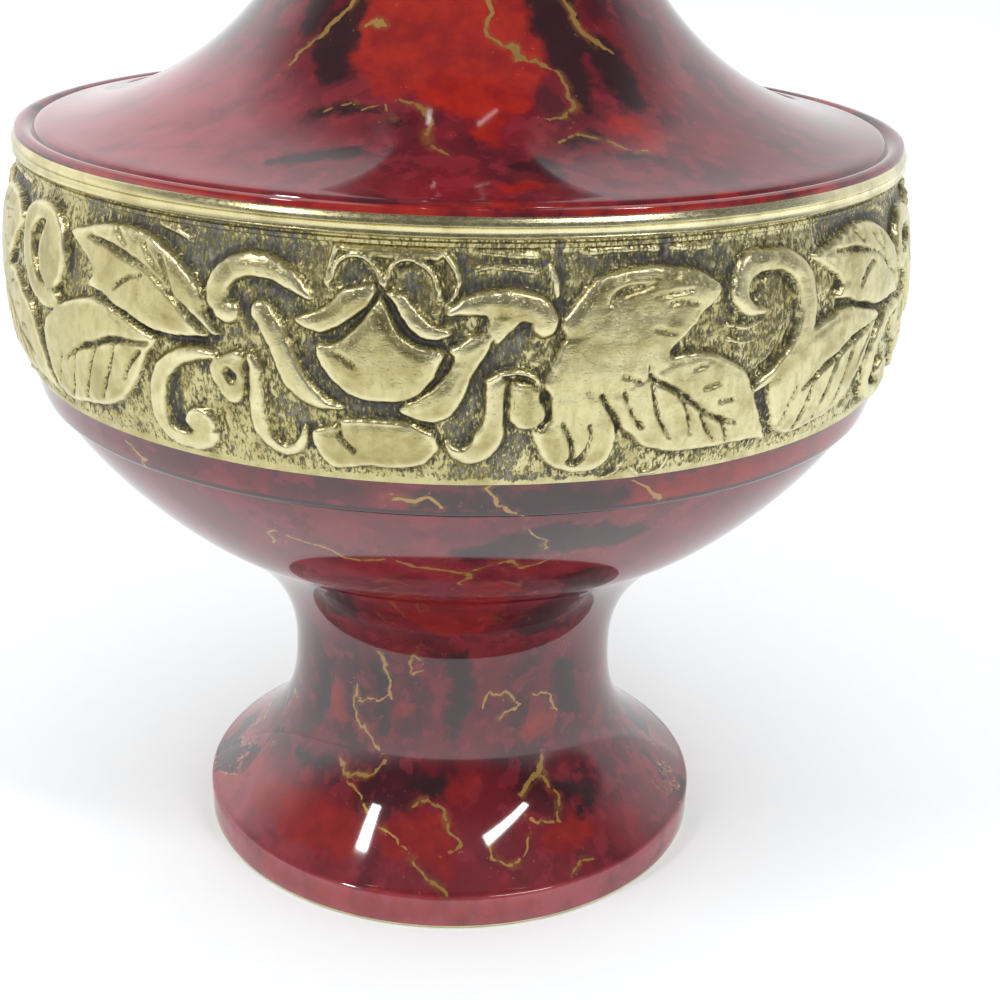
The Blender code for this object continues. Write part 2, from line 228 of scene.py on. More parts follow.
def finish_between(piece, slot, low, high, inside=False):
    """Give a material slot to the outer skin's faces between two heights, or also to the inner."""
    faces = piece.data.polygons
    centres = np.empty(len(faces) * 3, np.float32)
    faces.foreach_get("center", centres)
    centres = centres.reshape(-1, 3) / MM
    slots = np.empty(len(faces), np.int32)
    faces.foreach_get("material_index", slots)
    radius, height = np.hypot(centres[:, 0], centres[:, 1]), centres[:, 2]
    outer = radius > np.interp(height, outside[:, 1], outside[:, 0]) - WALL / 2
    slots[(height >= low) & (height <= high) & (outer | inside)] = slot
    faces.foreach_set("material_index", slots)


print("lathe ready")

# %% [markdown]
# ## Foot, stem and bowl
#
# The lower half is one sweep from the foot's standing ring, up the flare and the cove, and out
# along the bowl to the plain fillet under the relief. Turned edges are never quite sharp, so the
# fillet rounds over the step down to the bowl, and so does the foot's upper edge. Underneath, the
# foot is hollow up to the bowl's floor, as castings of this kind are.

# %% Turn the foot, the stem and the bowl
fillet = [
    (BAND_BOTTOM_RADIUS - 0.1, BAND_LEVEL),
    (BAND_BOTTOM_RADIUS - 0.25, BAND_LEVEL - 0.5),
    (BAND_BOTTOM_RADIUS - 0.5, BAND_LEVEL - 1.6),
    (BAND_BOTTOM_RADIUS - 0.8, BAND_LEVEL - 2.8),
    (FILLET_RADIUS, BOWL_TOP_LEVEL + 0.85),
    (FILLET_RADIUS - 0.14, BOWL_TOP_LEVEL + 0.5),
    (FILLET_RADIUS - 0.38, BOWL_TOP_LEVEL + 0.2),
    (FILLET_RADIUS - 0.7, BOWL_TOP_LEVEL + 0.04),
]
foot_edge = [
    (FOOT_RADIUS - 0.27, FOOT_EDGE_HEIGHT - 0.1),
    (FOOT_RADIUS - 0.1, FOOT_EDGE_HEIGHT - 0.3),
    (FOOT_RADIUS, FOOT_EDGE_HEIGHT - 0.65),
    (FOOT_RADIUS, 3.2),
    (FOOT_RADIUS, 1.8),
    (FOOT_RADIUS, EDGE),
    (FOOT_RADIUS - 0.15, 0.15),
    (FOOT_RADIUS - EDGE, 0),
    (FOOT_RADIUS - FOOT_RIM_WIDTH, 0),
]
foot_hollow = set_in((cove + flare[1:])[::4], WALL)
foot_hollow = [point for point in foot_hollow if HOLLOW_START < point[1] < CEILING_LEVEL]
bowl_inside = set_in(bowl[::4], WALL)
foot_outline = (
    [(0, CEILING_LEVEL), (foot_hollow[0][0], CEILING_LEVEL)]
    + foot_hollow
    + foot_edge[::-1]
    + (cove + flare[1:])[::-1]
    + bowl[:-1][::-1]
    + fillet[::-1]
    + [(BAND_BOTTOM_RADIUS - WALL, BAND_LEVEL)]
    + bowl_inside
    + [(bowl_inside[-1][0] - WALL, BOWL_ROOT_LEVEL), (0, BOWL_ROOT_LEVEL)]
)
foot_and_bowl = turned("foot_and_bowl", foot_outline, 480)

# %% [markdown]
# ## Rim, shoulder, neck and mouth
#
# Above the relief a rolled red rim lies round the shoulder, with a fine groove between them, and
# the neck climbs out of it. The neck narrows and flares again to a small bead at the lip. The inner
# wall follows the same curves two millimetres inside, so the mouth shows a real thickness of metal.

# %% Turn the rim, the neck and the mouth
rim = [
    (RING_RADIUS - 0.2, RIM_LEVEL),
    (RING_RADIUS - 0.32, RIM_LEVEL + 0.2),
    (RING_RADIUS - 0.43, RIM_LEVEL + 0.38),
    (RING_RADIUS - 0.45, RIM_LEVEL + 0.45),
    (RING_RADIUS - 0.46, RIM_LEVEL + 0.8),
    (RING_RADIUS - 0.62, RIM_LEVEL + 1.08),
    (RING_RADIUS - 0.97, RIM_LEVEL + 1.22),
    (RING_RADIUS - 1.4, RIM_LEVEL + 1.2),
    (RING_RADIUS - 1.95, RIM_LEVEL + 1.08),
    (RING_RADIUS - 2.35, RIM_LEVEL + 0.8),
]
lip_radius = MOUTH_RADIUS + LIP_OVERHANG
lip_middle = LIP_LEVEL + 1.2
lip = [
    (lip_radius - 1.0 + math.sin(math.radians(turn)),
     lip_middle - 1.19 * math.cos(math.radians(turn)))
    for turn in range(0, 181, 15)
]
mouth_inside = set_in(mouth[::2] + neck[1::3], WALL)
neck_outline = (
    rim
    + neck[::-1]
    + mouth[:-1][::-1]
    + lip
    + [(MOUTH_RADIUS - WALL + 0.6, TOP_LEVEL - 0.05), (MOUTH_RADIUS - WALL + 0.1, TOP_LEVEL - 0.6)]
    + mouth_inside[1:]
    + [(BAND_TOP_RADIUS - WALL, RIM_LEVEL)]
)
neck_and_mouth = turned("neck_and_mouth", neck_outline, 480)

# %% [markdown]
# ## Drawing the relief
#
# The belly carries four roses between leaves and scrolls, with a hook-shaped tendril where the
# leaves of two roses meet. Such a relief is modelled in wax or clay before casting, and chased with
# small punches after it. Here it is drawn flat, on the unrolled band, as the founder's carver would
# draw it: x is in degrees from the rose's axis, and y in hundredths of the band's height.
#
# Leaves, petals and the cup are outlines, given by the few points where they bend. Scrolls and
# stalks are strands with a half width in millimetres at each point. Cuts are narrow strands that
# are taken out again, for midribs, veins and slits. The number before each list is its share of the
# full relief. Pools and shades are strands that change no form, but tell the brass where patina
# lies smooth and where the brass is made browner. The hooks belong to every other pair of leaves.

# %% The drawing
PLATES = {
    "leaf_ul": (1, [
        (-40.3, 88.5), (-38, 92), (-35, 95), (-32, 97), (-29, 97), (-26, 94.5), (-23.5, 90),
        (-21.5, 84.5), (-20, 79.5), (-19, 75), (-18.7, 68.5), (-17.8, 61.5), (-17.6, 58),
        (-20.5, 56), (-23, 55), (-26, 55.5), (-29, 59.5), (-31.5, 62), (-33.5, 65.5), (-36.2, 68),
        (-35.3, 74.5), (-36.8, 79.5), (-38.5, 83.5),
    ]),
    "leaf_ll": (1, [
        (-25.3, 52), (-27, 55.5), (-30, 59.5), (-33, 63), (-36, 63), (-39, 59.5), (-42, 55),
        (-44.5, 48.5), (-46, 41.5), (-46.6, 33), (-46, 24.5), (-45.3, 15.5), (-44, 9.5), (-41.5, 8),
        (-38.5, 10), (-35.5, 12), (-33, 15), (-31, 19.5), (-29.3, 26.5), (-28, 33), (-26.8, 43),
    ]),
    "cup": (1, [
        (0, 82), (0.9, 77), (1.8, 70.5), (2.8, 65.5), (4.5, 62.5), (6.6, 61), (6.3, 54.5), (5.4, 47),
        (3.8, 40.5), (1.7, 38), (-0.6, 37.5), (-2.7, 39.5), (-4.3, 43.5), (-5.7, 50), (-6.6, 57),
        (-6.3, 61.5), (-4.9, 62), (-3.6, 65), (-2.3, 70), (-1.1, 76.5),
    ]),
    "calyx_r": (0.95, [
        (7, 61.5), (8.2, 65), (9.3, 68), (10.6, 69), (11.6, 67), (11.2, 61.5), (10.3, 55.5),
        (9.4, 48.5), (8.8, 41.5), (8, 35.5), (7, 31.5), (5.2, 29.5), (3, 31.5), (2, 34.5),
        (2.7, 38.5), (4.2, 42), (5.7, 46.5), (6.8, 52), (7.4, 57),
    ]),
    "petal_ul": (0.9, [
        (-9, 70.5), (-7, 74.5), (-5.3, 78), (-4.3, 83), (-3, 85.5), (-1.5, 86.5), (-0.5, 86),
        (-0.3, 83), (-0.9, 78.5), (-1.7, 75), (-3, 71), (-4.4, 67.5), (-6, 65), (-7.8, 66.5),
    ]),
    "petal_ur": (1, [
        (0.3, 83.5), (1.2, 84.5), (2.5, 84), (3.4, 80), (4.4, 75.5), (5.6, 72), (7.2, 70), (7.3, 67),
        (6.2, 65), (4.6, 65), (3.2, 68), (2.2, 73), (1.5, 78), (0.8, 81.5),
    ]),
    "petal_low": (1, [
        (-4.8, 26.5), (-4, 29.5), (-2, 30.5), (1, 31), (3.2, 30.5), (4.5, 28), (5.7, 25.5),
        (6.2, 21.5), (6.4, 18.5), (5.7, 14.5), (4.8, 10.5), (3.5, 8.5), (1, 7.5), (-1, 8), (-3, 6.5),
        (-5, 5.5), (-6.2, 9.5), (-6.8, 14.5), (-7.2, 19.5), (-7, 23.5), (-6, 25.5),
    ]),
    "lobe_r": (0.8, [
        (13.1, 48), (14.8, 48.5), (16.2, 45), (16.6, 40), (17.2, 35.5), (17, 30.5), (16, 27),
        (14.7, 26.5), (13.5, 29.5), (13, 33), (13, 40),
    ]),
    "comma_l": (0.9, [
        (-18.7, 45), (-18.2, 38.5), (-17.3, 33.5), (-16.2, 29.5), (-15, 30.5), (-14.2, 35.5),
        (-14.1, 41.5), (-14.4, 47), (-14.2, 52), (-15.2, 54.5), (-16.6, 52), (-17.8, 50),
    ]),
    "ball_l": (1, [
        (-22.4, 18.5), (-21.6, 23.5), (-20.3, 25.5), (-18.9, 23.5), (-18.2, 18.5), (-18.5, 13),
        (-19.5, 10), (-21, 11.5), (-22, 14.5),
    ]),
    "scroll_r": (0.95, [
        (15.4, 26.5), (16.1, 19.5), (17, 12), (18.3, 8), (20.5, 5.5), (22.8, 6.5), (24.2, 11.5),
        (24.8, 20), (24.5, 28), (23.6, 35.5), (22.8, 42), (21, 48.5), (17.5, 48.5), (17.2, 38.5),
        (17.3, 32), (16.7, 30),
    ]),
    "plate_r": (1, [
        (16.6, 48.5), (17.6, 57), (18.4, 64.5), (20, 71.5), (23, 75.5), (27, 74.5), (30, 68.5),
        (31.2, 63), (30.3, 57), (32, 54.5), (28, 44.5), (23.5, 40), (20, 41.5), (17.2, 43),
    ]),
    "leaf_ur": (1, [
        (18.2, 71.5), (19, 77), (20.3, 83), (21.5, 88), (23, 91.5), (25, 93), (28, 94), (30.5, 93),
        (33, 91.5), (35, 88), (36.5, 83.5), (36.3, 79.5), (35.3, 75.5), (34, 72), (33.3, 68.5),
        (32.5, 65.5), (31.5, 62), (30, 58.5), (27, 57), (22, 60), (19, 65.5),
    ]),
    "leaf_lr": (1, [
        (22.7, 40.5), (23.3, 35.5), (24, 30.5), (25, 25.5), (26.3, 21.5), (27.5, 16.5), (29.5, 13),
        (32, 11), (35, 10.5), (38, 10.5), (41, 10.5), (43, 9.5), (44.6, 8), (44, 13), (43.3, 18.5),
        (42.6, 24.5), (42, 28.5), (41.3, 34.5), (40.7, 40), (39.8, 45.5), (38, 50), (36, 54.5),
        (34.3, 56.5), (32, 57), (29, 54.5), (26, 48.5),
    ]),
    "arch_r_fill": (0.95, [
        (10.2, 79.5), (14, 80), (16.6, 79), (15.5, 75.5), (14.2, 71.5), (12.9, 67), (11.9, 63),
        (11.2, 66), (10.7, 68.5), (10.9, 73), (10.3, 76),
    ]),
    "shelf": (0.75, [
        (-4.9, 105.5), (-4.6, 98.5), (-3, 97), (0, 96), (4, 96), (6.3, 97), (6.2, 105.5),
    ]),
}

STRANDS = {
    "arch_l": (1, [
        (-17.6, 74.5, 1.5), (-17.4, 81, 1.5), (-16.1, 87, 1.45), (-13.9, 90, 1.4),
        (-11.6, 89.5, 1.35), (-9.9, 86.5, 1.2), (-8.3, 82.5, 0.9), (-7.1, 79, 0.35),
    ]),
    "arch_ball_l": (1, [
        (-16.9, 70.5, 1.35), (-16.2, 69.5, 1.35),
    ]),
    "calyx_l": (0.95, [
        (-12.5, 71.5, 1.3), (-11.5, 66.5, 1.4), (-10.5, 60, 1.4), (-9.7, 53, 1.45), (-8.8, 45.5, 1.5),
        (-7.3, 39, 1.3), (-5.4, 35, 0.7), (-3.8, 34, 0.3),
    ]),
    "frill_l": (0.85, [
        (-5.2, 86.5, 0.35), (-4.9, 91.5, 0.35), (-4.2, 95.5, 0.35), (-3, 97.5, 0.35),
        (-1.8, 97, 0.35), (-1, 94.5, 0.35), (-0.2, 90.5, 0.35), (0.2, 87, 0.35),
    ]),
    "frill_r": (0.85, [
        (0.4, 85.5, 0.3), (0.7, 90.5, 0.35), (1.2, 94.5, 0.35), (2.5, 97, 0.35), (4, 95.5, 0.35),
        (5.2, 92, 0.35), (5.8, 87, 0.35), (6.1, 81.5, 0.35),
    ]),
    "frill_out_r": (0.85, [
        (6.2, 100, 0.35), (7.2, 95.5, 0.4), (7.9, 90, 0.4), (7.7, 84.5, 0.35), (6.8, 79.5, 0.3),
    ]),
    "frill_out_l": (0.85, [
        (-5.3, 103.5, 0.4), (-4.8, 100, 0.45), (-5.1, 95.5, 0.4), (-5.5, 90, 0.35),
        (-5.6, 85.5, 0.3), (-4.9, 83, 0.3),
    ]),
    "j_l": (0.8, [
        (-13.7, 51.5, 0.7), (-13.2, 47, 0.9), (-13.1, 37, 1), (-13, 27, 1.1), (-12.6, 20, 1.1),
        (-11.6, 14.5, 0.95), (-10.2, 12, 0.85), (-8.9, 13.5, 0.8), (-8.2, 17.5, 0.7),
        (-7.9, 22.5, 0.5),
    ]),
    "j_r": (0.9, [
        (11.9, 46.5, 1.3), (11.8, 38.5, 1.2), (11.7, 30.5, 1.3), (11.2, 23.5, 1.6), (10.2, 17.5, 1.5),
        (8.9, 15.5, 1.1), (7.7, 17, 0.7), (6.9, 20.5, 0.4),
    ]),
    "fan_r": (1, [
        (10.9, 48.5, 0.35), (12.2, 51.5, 0.4), (14, 52.5, 0.4), (15.7, 50.5, 0.4), (16.2, 47, 0.3),
    ]),
    "c_l": (1, [
        (-17.8, 50.5, 0.6), (-20, 49.5, 0.9), (-22.3, 46.5, 1.1), (-24.3, 40.5, 1.25),
        (-25.3, 33, 1.3), (-25.7, 24.5, 1.25), (-25.6, 16.5, 1.25), (-24.5, 10.5, 1.2),
        (-22.5, 8.5, 1.2), (-20.5, 9, 1.3), (-19.3, 13, 1.4),
    ]),
    "arch_r": (1, [
        (7.1, 76.5, 0.6), (9, 79.5, 1.1), (11.5, 80.5, 1.5), (14, 79.5, 1.7), (16, 77.5, 1.6),
        (16.7, 73.5, 1.5), (16.6, 71.5, 1.4),
    ]),
    "ridge_r": (0.8, [
        (17.3, 94.5, 0.4), (17.8, 88.5, 0.5), (17.9, 83, 0.4),
    ]),
    "line_1": (0.4, [
        (9.2, 102, 0.45), (10.5, 100, 0.5), (13, 99, 0.5), (16, 98.5, 0.4),
    ]),
    "line_2": (0.4, [
        (9.8, 93, 0.3), (11, 94.5, 0.35), (13, 94, 0.4), (16, 92.5, 0.3),
    ]),
    "line_3": (0.4, [
        (-26, 100.5, 0.5), (-23, 98, 0.5), (-21.5, 95.5, 0.4),
    ]),
    "line_5": (0.4, [
        (21.5, 101, 0.8), (25, 101.5, 0.8), (29, 101, 0.8),
    ]),
    "line_6": (0.45, [
        (31.5, 101, 0.9), (34, 100, 0.8), (35.5, 99, 0.5),
    ]),
    "loop_1": (0.5, [
        (24, 2, 0.25), (25.3, 5, 0.25), (26, 10, 0.25),
    ]),
    "loop_2": (0.5, [
        (27.2, 5.5, 0.25), (28, 2, 0.25), (29.7, 2, 0.25), (31, 5, 0.25), (31.5, 9.5, 0.25),
    ]),
}

HOOKS = {
    "hook_l": (1, [
        (-43, 55, 1.2), (-45.5, 54.5, 1.5), (-48.3, 58.5, 1.5), (-50.2, 67, 1.5), (-51.2, 77, 1.6),
        (-50.8, 86.5, 1.7), (-48.2, 91.5, 1.3), (-45.2, 91.5, 1.3), (-43.9, 84.5, 2.3),
        (-44.1, 76.5, 3.3), (-44.4, 70, 3),
    ]),
    "hook_r": (1, [
        (39.2, 83, 1.2), (40.3, 89.5, 1.5), (43, 90.5, 1.3), (46, 88.5, 1.4), (48.2, 81.5, 1.6),
        (48.9, 71.5, 1.6), (48.7, 61.5, 1.6), (47.8, 53, 1.5), (46, 45.5, 1.3), (44, 40.5, 1),
        (42, 37, 0.8), (41.2, 34.5, 0.4),
    ]),
    "hook_end": (1, [
        (39.2, 83, 1.2), (38.9, 77, 1.3), (40, 71.5, 1), (41.5, 70, 0.7), (42.6, 69.5, 0.4),
    ]),
    "hook_rib_1": (0.5, [
        (44.3, 80, 0.4), (45, 71.5, 0.4), (44.7, 63, 0.4), (43.3, 55.5, 0.4), (41.3, 48.5, 0.4),
        (40.5, 44.5, 0.3),
    ]),
    "hook_rib_2": (0.5, [
        (42.8, 64.5, 0.3), (41.5, 57, 0.3), (40, 51.5, 0.3),
    ]),
    "hook_palm": (0.4, [
        (43.8, 78, 1.8), (43.2, 69, 2.6), (41.7, 59, 3), (40.5, 50, 2),
    ]),
    "hook_rib_3": (0.6, [
        (37.2, 66, 0.3), (39.5, 63.5, 0.35), (41.8, 65.5, 0.35), (43, 69, 0.3),
    ]),
    "hook_rib_4": (0.6, [
        (37.5, 59.5, 0.3), (39.3, 57, 0.35), (41, 58, 0.3),
    ]),
}

CUTS = {
    "ul_rib": (0.75, [
        (-36, 89, 0.36), (-34, 88, 0.43), (-32, 87, 0.47), (-29.5, 84.5, 0.47), (-27.5, 82.5, 0.32),
        (-25.5, 79, 0.29), (-23.5, 73.5, 0.29), (-22, 69.5, 0.36), (-20, 63.5, 0.5), (-18, 57, 0.58),
    ]),
    "ul_v1": (0.35, [
        (-27.3, 91.5, 0.2), (-26, 85.5, 0.22), (-24.5, 80.5, 0.2),
    ]),
    "ul_v2": (0.4, [
        (-24.9, 88.5, 0.2), (-24.2, 83, 0.22), (-23.6, 77, 0.22), (-23.2, 73, 0.2),
    ]),
    "ul_v3": (0.35, [
        (-31.8, 95, 0.2), (-31, 93, 0.25), (-30, 89.5, 0.2),
    ]),
    "ul_lobe": (0.55, [
        (-31.2, 70, 0.29), (-30.5, 73, 0.36), (-29, 76.5, 0.32), (-27.5, 78, 0.25),
    ]),
    "ul_ll": (0.9, [
        (-32, 61.5, 0.2), (-29, 58, 0.25), (-26.5, 55, 0.29), (-24, 53, 0.43), (-21, 54.5, 0.36),
        (-18, 54.5, 0.36),
    ]),
    "ll_rib": (0.75, [
        (-26.5, 49.5, 0.29), (-28.5, 48.5, 0.29), (-31, 47.5, 0.5), (-33, 45.5, 0.47), (-35, 42, 0.43),
        (-37, 39.5, 0.43), (-39, 35, 0.29), (-41, 30, 0.25),
    ]),
    "ll_v1": (0.6, [
        (-27.7, 45, 0.25), (-28.8, 40, 0.29), (-29.8, 34.5, 0.25), (-30.2, 30.5, 0.2),
    ]),
    "ll_v2": (0.65, [
        (-31.6, 45, 0.25), (-32.3, 37, 0.25), (-33.2, 28.5, 0.29), (-34.5, 18, 0.25),
    ]),
    "ll_v3": (0.65, [
        (-35, 40, 0.29), (-35.8, 33, 0.25), (-36.8, 24.5, 0.29), (-38, 14.5, 0.25),
    ]),
    "ll_v4": (0.65, [
        (-38.8, 35.5, 0.36), (-39.5, 27, 0.25), (-40.3, 18.5, 0.36), (-41.3, 11.5, 0.25),
    ]),
    "ll_v5": (0.4, [
        (-42, 31.5, 0.25), (-43, 23, 0.22), (-44, 14.5, 0.25),
    ]),
    "cup_line": (0.35, [
        (-4, 58, 0.2), (-2.3, 53.5, 0.2),
    ]),
    "low_arc": (0.6, [
        (-4.1, 27, 0.25), (-4, 23, 0.22), (-3.5, 19.5, 0.22), (-2.5, 15.5, 0.25),
    ]),
    "comma_eye": (0.8, [
        (-16.2, 44.5, 0.54), (-15.7, 42, 0.54),
    ]),
    "c_hollow": (0.5, [
        (-23.3, 27, 0.36), (-23.4, 20, 0.43), (-22.9, 15, 0.36),
    ]),
    "lobe_line": (0.4, [
        (13, 47, 0.25), (12.9, 38.5, 0.25), (13, 30, 0.25),
    ]),
    "slit_1": (0.8, [
        (18.7, 30, 0.22), (19.3, 25, 0.25), (19.9, 19.5, 0.25), (20, 13.5, 0.29), (19.6, 12, 0.22),
    ]),
    "slit_2": (0.7, [
        (21.7, 28, 0.25), (21.8, 21.5, 0.22), (21.3, 15.5, 0.29), (20.5, 11.5, 0.36),
        (19.7, 11.5, 0.29),
    ]),
    "scroll_edge": (0.5, [
        (17.3, 41.5, 0.2), (17.4, 37, 0.22), (17.3, 32, 0.25), (16.5, 28, 0.29),
    ]),
    "ur_fold": (0.5, [
        (23.2, 78, 0.22), (23.9, 82, 0.5), (25.2, 84.5, 0.54), (26.8, 85.5, 0.43), (28, 86.5, 0.25),
    ]),
    "ur_v1": (0.35, [
        (28.2, 81.5, 0.15), (30, 82, 0.2), (32.5, 83, 0.15),
    ]),
    "ur_v2": (0.4, [
        (30, 78, 0.2), (31.5, 78.5, 0.25), (33.5, 77, 0.15),
    ]),
    "ur_v3": (0.35, [
        (28.3, 68.5, 0.2), (29.5, 67, 0.29), (30.8, 65.5, 0.2),
    ]),
    "lr_rib": (0.7, [
        (27.8, 53, 0.25), (27.9, 48.5, 0.25), (28.8, 45.5, 0.25), (30.5, 42, 0.25), (32, 38, 0.25),
        (33.5, 33, 0.25), (35, 28.5, 0.22), (37, 24.5, 0.25), (39, 21.5, 0.15),
    ]),
    "lr_edge": (0.8, [
        (22.7, 41.5, 0.25), (23.6, 35.5, 0.22), (24.5, 30.5, 0.25), (25, 25.5, 0.22),
    ]),
    "lr_v1": (0.7, [
        (25.2, 41.5, 0.25), (25.8, 35.5, 0.22), (26.5, 30, 0.25), (27.2, 26.5, 0.36),
    ]),
    "lr_v2": (0.65, [
        (28.2, 44.5, 0.25), (28.6, 37, 0.25), (29.3, 28.5, 0.25), (30.7, 19.5, 0.25),
    ]),
    "lr_v3": (0.6, [
        (31.3, 38.5, 0.2), (32.3, 33, 0.22), (33, 25.5, 0.25), (33.2, 20, 0.2),
    ]),
    "lr_v4": (0.6, [
        (34.3, 28.5, 0.25), (35, 23, 0.22), (36.4, 14.5, 0.2),
    ]),
    "lr_v5": (0.5, [
        (37, 24.5, 0.2), (37.8, 18.5, 0.25), (38.3, 13, 0.2),
    ]),
    "lr_d1": (0.4, [
        (33, 49.5, 0.25), (34.3, 50.5, 0.2),
    ]),
    "lr_d2": (0.4, [
        (34.3, 40, 0.25), (36.3, 41.5, 0.2),
    ]),
    "lr_d3": (0.4, [
        (36.5, 33, 0.25), (38.3, 33, 0.15),
    ]),
    "lr_d4": (0.4, [
        (24.8, 49.5, 0.25), (26.7, 46.5, 0.25),
    ]),
    "notch_1": (0.6, [
        (18.4, 103.5, 0.25), (18.5, 98, 0.22),
    ]),
    "notch_2": (0.8, [
        (20.3, 104.5, 0.29), (20.3, 93, 0.25),
    ]),
    "notch_3": (0.8, [
        (30, 103.5, 0.25), (29.5, 97, 0.25),
    ]),
    "notch_4": (0.6, [
        (36.5, 100, 0.22), (36.5, 91.5, 0.22),
    ]),
}
POOLS = [
    [(-38, 99, 0.9), (-31, 101, 0.9), (-25, 97, 1.7), (-20, 94, 2.3), (-15, 98, 1.8)],
    [(-12.8, 81, 1.3), (-10.6, 78, 1.7), (-9, 75, 1)],
    [(-12, 98, 1.1), (-7, 96, 1.1)],
    [(-15.2, 77, 0.5), (-14.2, 72, 0.8), (-13.6, 66, 0.7)],
    [(-20.5, 57, 0.4), (-17, 59, 0.5), (-15, 61, 0.4)],
    [(-23.6, 38, 0.7), (-23.9, 27, 1.2), (-22.9, 17, 0.9)],
    [(-10.6, 33, 0.8), (-8.4, 27, 1.3), (-7.7, 18, 0.7)],
    [(-7.4, 60, 0.4), (-6.8, 50, 0.6), (-4.9, 41, 0.7), (-1.5, 34.8, 0.8), (2, 34.2, 0.8),
     (5.2, 40, 0.7), (7, 48, 0.6), (7.7, 57, 0.5), (7.6, 63, 0.5)],
    [(-1.7, 71, 0.4), (0, 84, 0.4), (1.6, 75, 0.4), (3.4, 67, 0.5), (6.5, 62.5, 0.5)],
    [(15.9, 75, 0.3), (14.8, 70, 0.8), (13.8, 64, 1.2), (12.4, 57, 1.4), (10.9, 49, 1.2),
     (9.8, 40, 1.1), (8.8, 32, 1), (7.8, 25, 1)],
    [(12.8, 15, 1.1), (14.3, 21, 1.1), (12.4, 8, 1.3)],
    [(8, 5, 0.8), (13, 4, 1), (16, 2.5, 0.7), (20, 1, 0.6), (24.5, 4, 0.6), (25.5, 13, 0.6)],
    [(-3.4, 89, 0.9), (-2.2, 92, 0.8)],
    [(3.2, 89, 0.7), (4.6, 82, 0.5)],
    [(8.2, 98, 0.8), (9.2, 91, 1.1), (9.6, 85, 0.9), (13, 88.5, 1), (16.4, 87, 0.8)],
    [(10.5, 96.5, 0.5), (14, 96.5, 0.5), (17, 95, 0.6)],
    [(18.4, 97, 0.8), (18.3, 87, 0.6), (18, 79, 0.5)],
    [(21, 95.5, 0.8), (26, 97.5, 0.8), (31, 96.5, 1), (36.5, 92, 1.4), (37.8, 84, 1)],
    [(38, 77, 0.8), (37, 70, 0.9)],
    [(43.2, 30, 0.8), (44.6, 20, 0.8)],
    [(-47.6, 32, 1), (-47.4, 15, 1)],
    [(-41.8, 81, 0.9), (-40.4, 74, 0.9), (-39.6, 66, 0.9)],
]
SHADES = [
    [(-5, 22, 1.6), (-2.5, 17, 2.6), (3, 17, 2.8), (5, 20, 1.5)],
    [(5.5, 34, 0.8), (8.5, 42, 1), (9.8, 55, 1)],
    [(11.8, 42, 0.8), (11.2, 26, 1.1), (9.5, 17, 0.9)],
    [(-7.5, 69, 0.7), (-4.5, 75, 0.9), (-1.5, 82, 0.8)],
    [(1, 82, 0.5), (3.4, 75, 0.8), (6, 68, 0.8)],
    [(0, 79, 0.5), (0.6, 72, 0.9), (2.5, 65, 1)],
    [(-4, 55, 0.7), (-2, 50, 0.8)],
    [(10, 78.5, 0.8), (14, 76, 0.9), (15.5, 70, 0.8)],
    [(14.8, 44, 0.9), (15, 32, 1)],
    [(17.5, 24, 0.8), (19, 12, 0.9), (23, 14, 0.6)],
    [(21.5, 86, 0.6), (26, 88, 0.9), (32, 88, 0.7)],
    [(43.8, 78, 1.3), (43, 66, 1.8), (41.5, 54, 1.6)],
    [(-45, 72, 1.2), (-45, 84, 1)],
]
print("forms:", len(PLATES) + len(STRANDS) + len(HOOKS), "cuts:", len(CUTS), "pools:", len(POOLS))

# %% [markdown]
# ## From drawing to height
#
# A relief is a height for each spot of the band, so it is worked out on a fine flat grid that wraps
# round the belly. Each form is first smoothed into a flowing line. Then the grid near it gets the
# depth inside the outline, in millimetres, from which the height follows. Soft random grain comes
# from one fixed seed, so that each run is the same.

# %% Depth inside a strand or an outline, and soft grain
ROSES = 4
ROSE_AZIMUTH = -8.0
RELIEF = 1.08
CELL = 0.15
ROUND = 2 * math.pi * BELLY_RADIUS
COLUMNS = round(ROUND / CELL)
ROWS = round(BAND_HEIGHT / CELL) + 1
SHOULDER_WIDTH = 0.45


def flowing(points, closed):
    """A smooth line through a few points, in millimetres on the unrolled band."""
    line = np.array(points, float)
    line[:, 0] *= ROUND / 360
    line[:, 1] *= BAND_HEIGHT / 100
    last = len(line) - 1
    smooth = []
    for index in range(last + closed):
        if closed:
            a, b, c, d = (line[(index + step) % (last + 1)] for step in (-1, 0, 1, 2))
        else:
            a, b, c, d = (line[min(max(index + step, 0), last)] for step in (-1, 0, 1, 2))
        for t in (0, 0.2, 0.4, 0.6, 0.8):
            bend = (2 * a - 5 * b + 4 * c - d) * t**2 + (3 * b - a - 3 * c + d) * t**3
            smooth.append(b + 0.5 * ((c - a) * t + bend))
    return np.array(smooth + ([] if closed else [line[-1]]))


def strand_depth(x, y, strand):
    """How deep each spot lies inside a strand whose half width changes along it."""
    depth = np.full(x.shape, -9.0)
    for start, end in zip(strand, strand[1:]):
        run = end[:2] - start[:2]
        t = ((x - start[0]) * run[0] + (y - start[1]) * run[1]) / (run @ run + 1e-9)
        t = t.clip(0, 1)
        away = np.hypot(x - start[0] - run[0] * t, y - start[1] - run[1] * t)
        depth = np.maximum(depth, start[2] + (end[2] - start[2]) * t - away)
    return depth


def plate_depth(x, y, outline):
    """How deep each spot lies inside a closed outline, negative outside it."""
    inside = np.zeros(x.shape, bool)
    thin = np.hstack([outline, np.zeros((len(outline), 1))])
    for start, end in zip(outline, np.roll(outline, -1, axis=0)):
        if start[1] != end[1]:
            crossing = (end[0] - start[0]) * (y - start[1]) / (end[1] - start[1]) + start[0]
            inside ^= ((start[1] > y) != (end[1] > y)) & (x < crossing)
    away = -strand_depth(x, y, np.vstack([thin, thin[:1]]))
    return np.where(inside, away, -away)


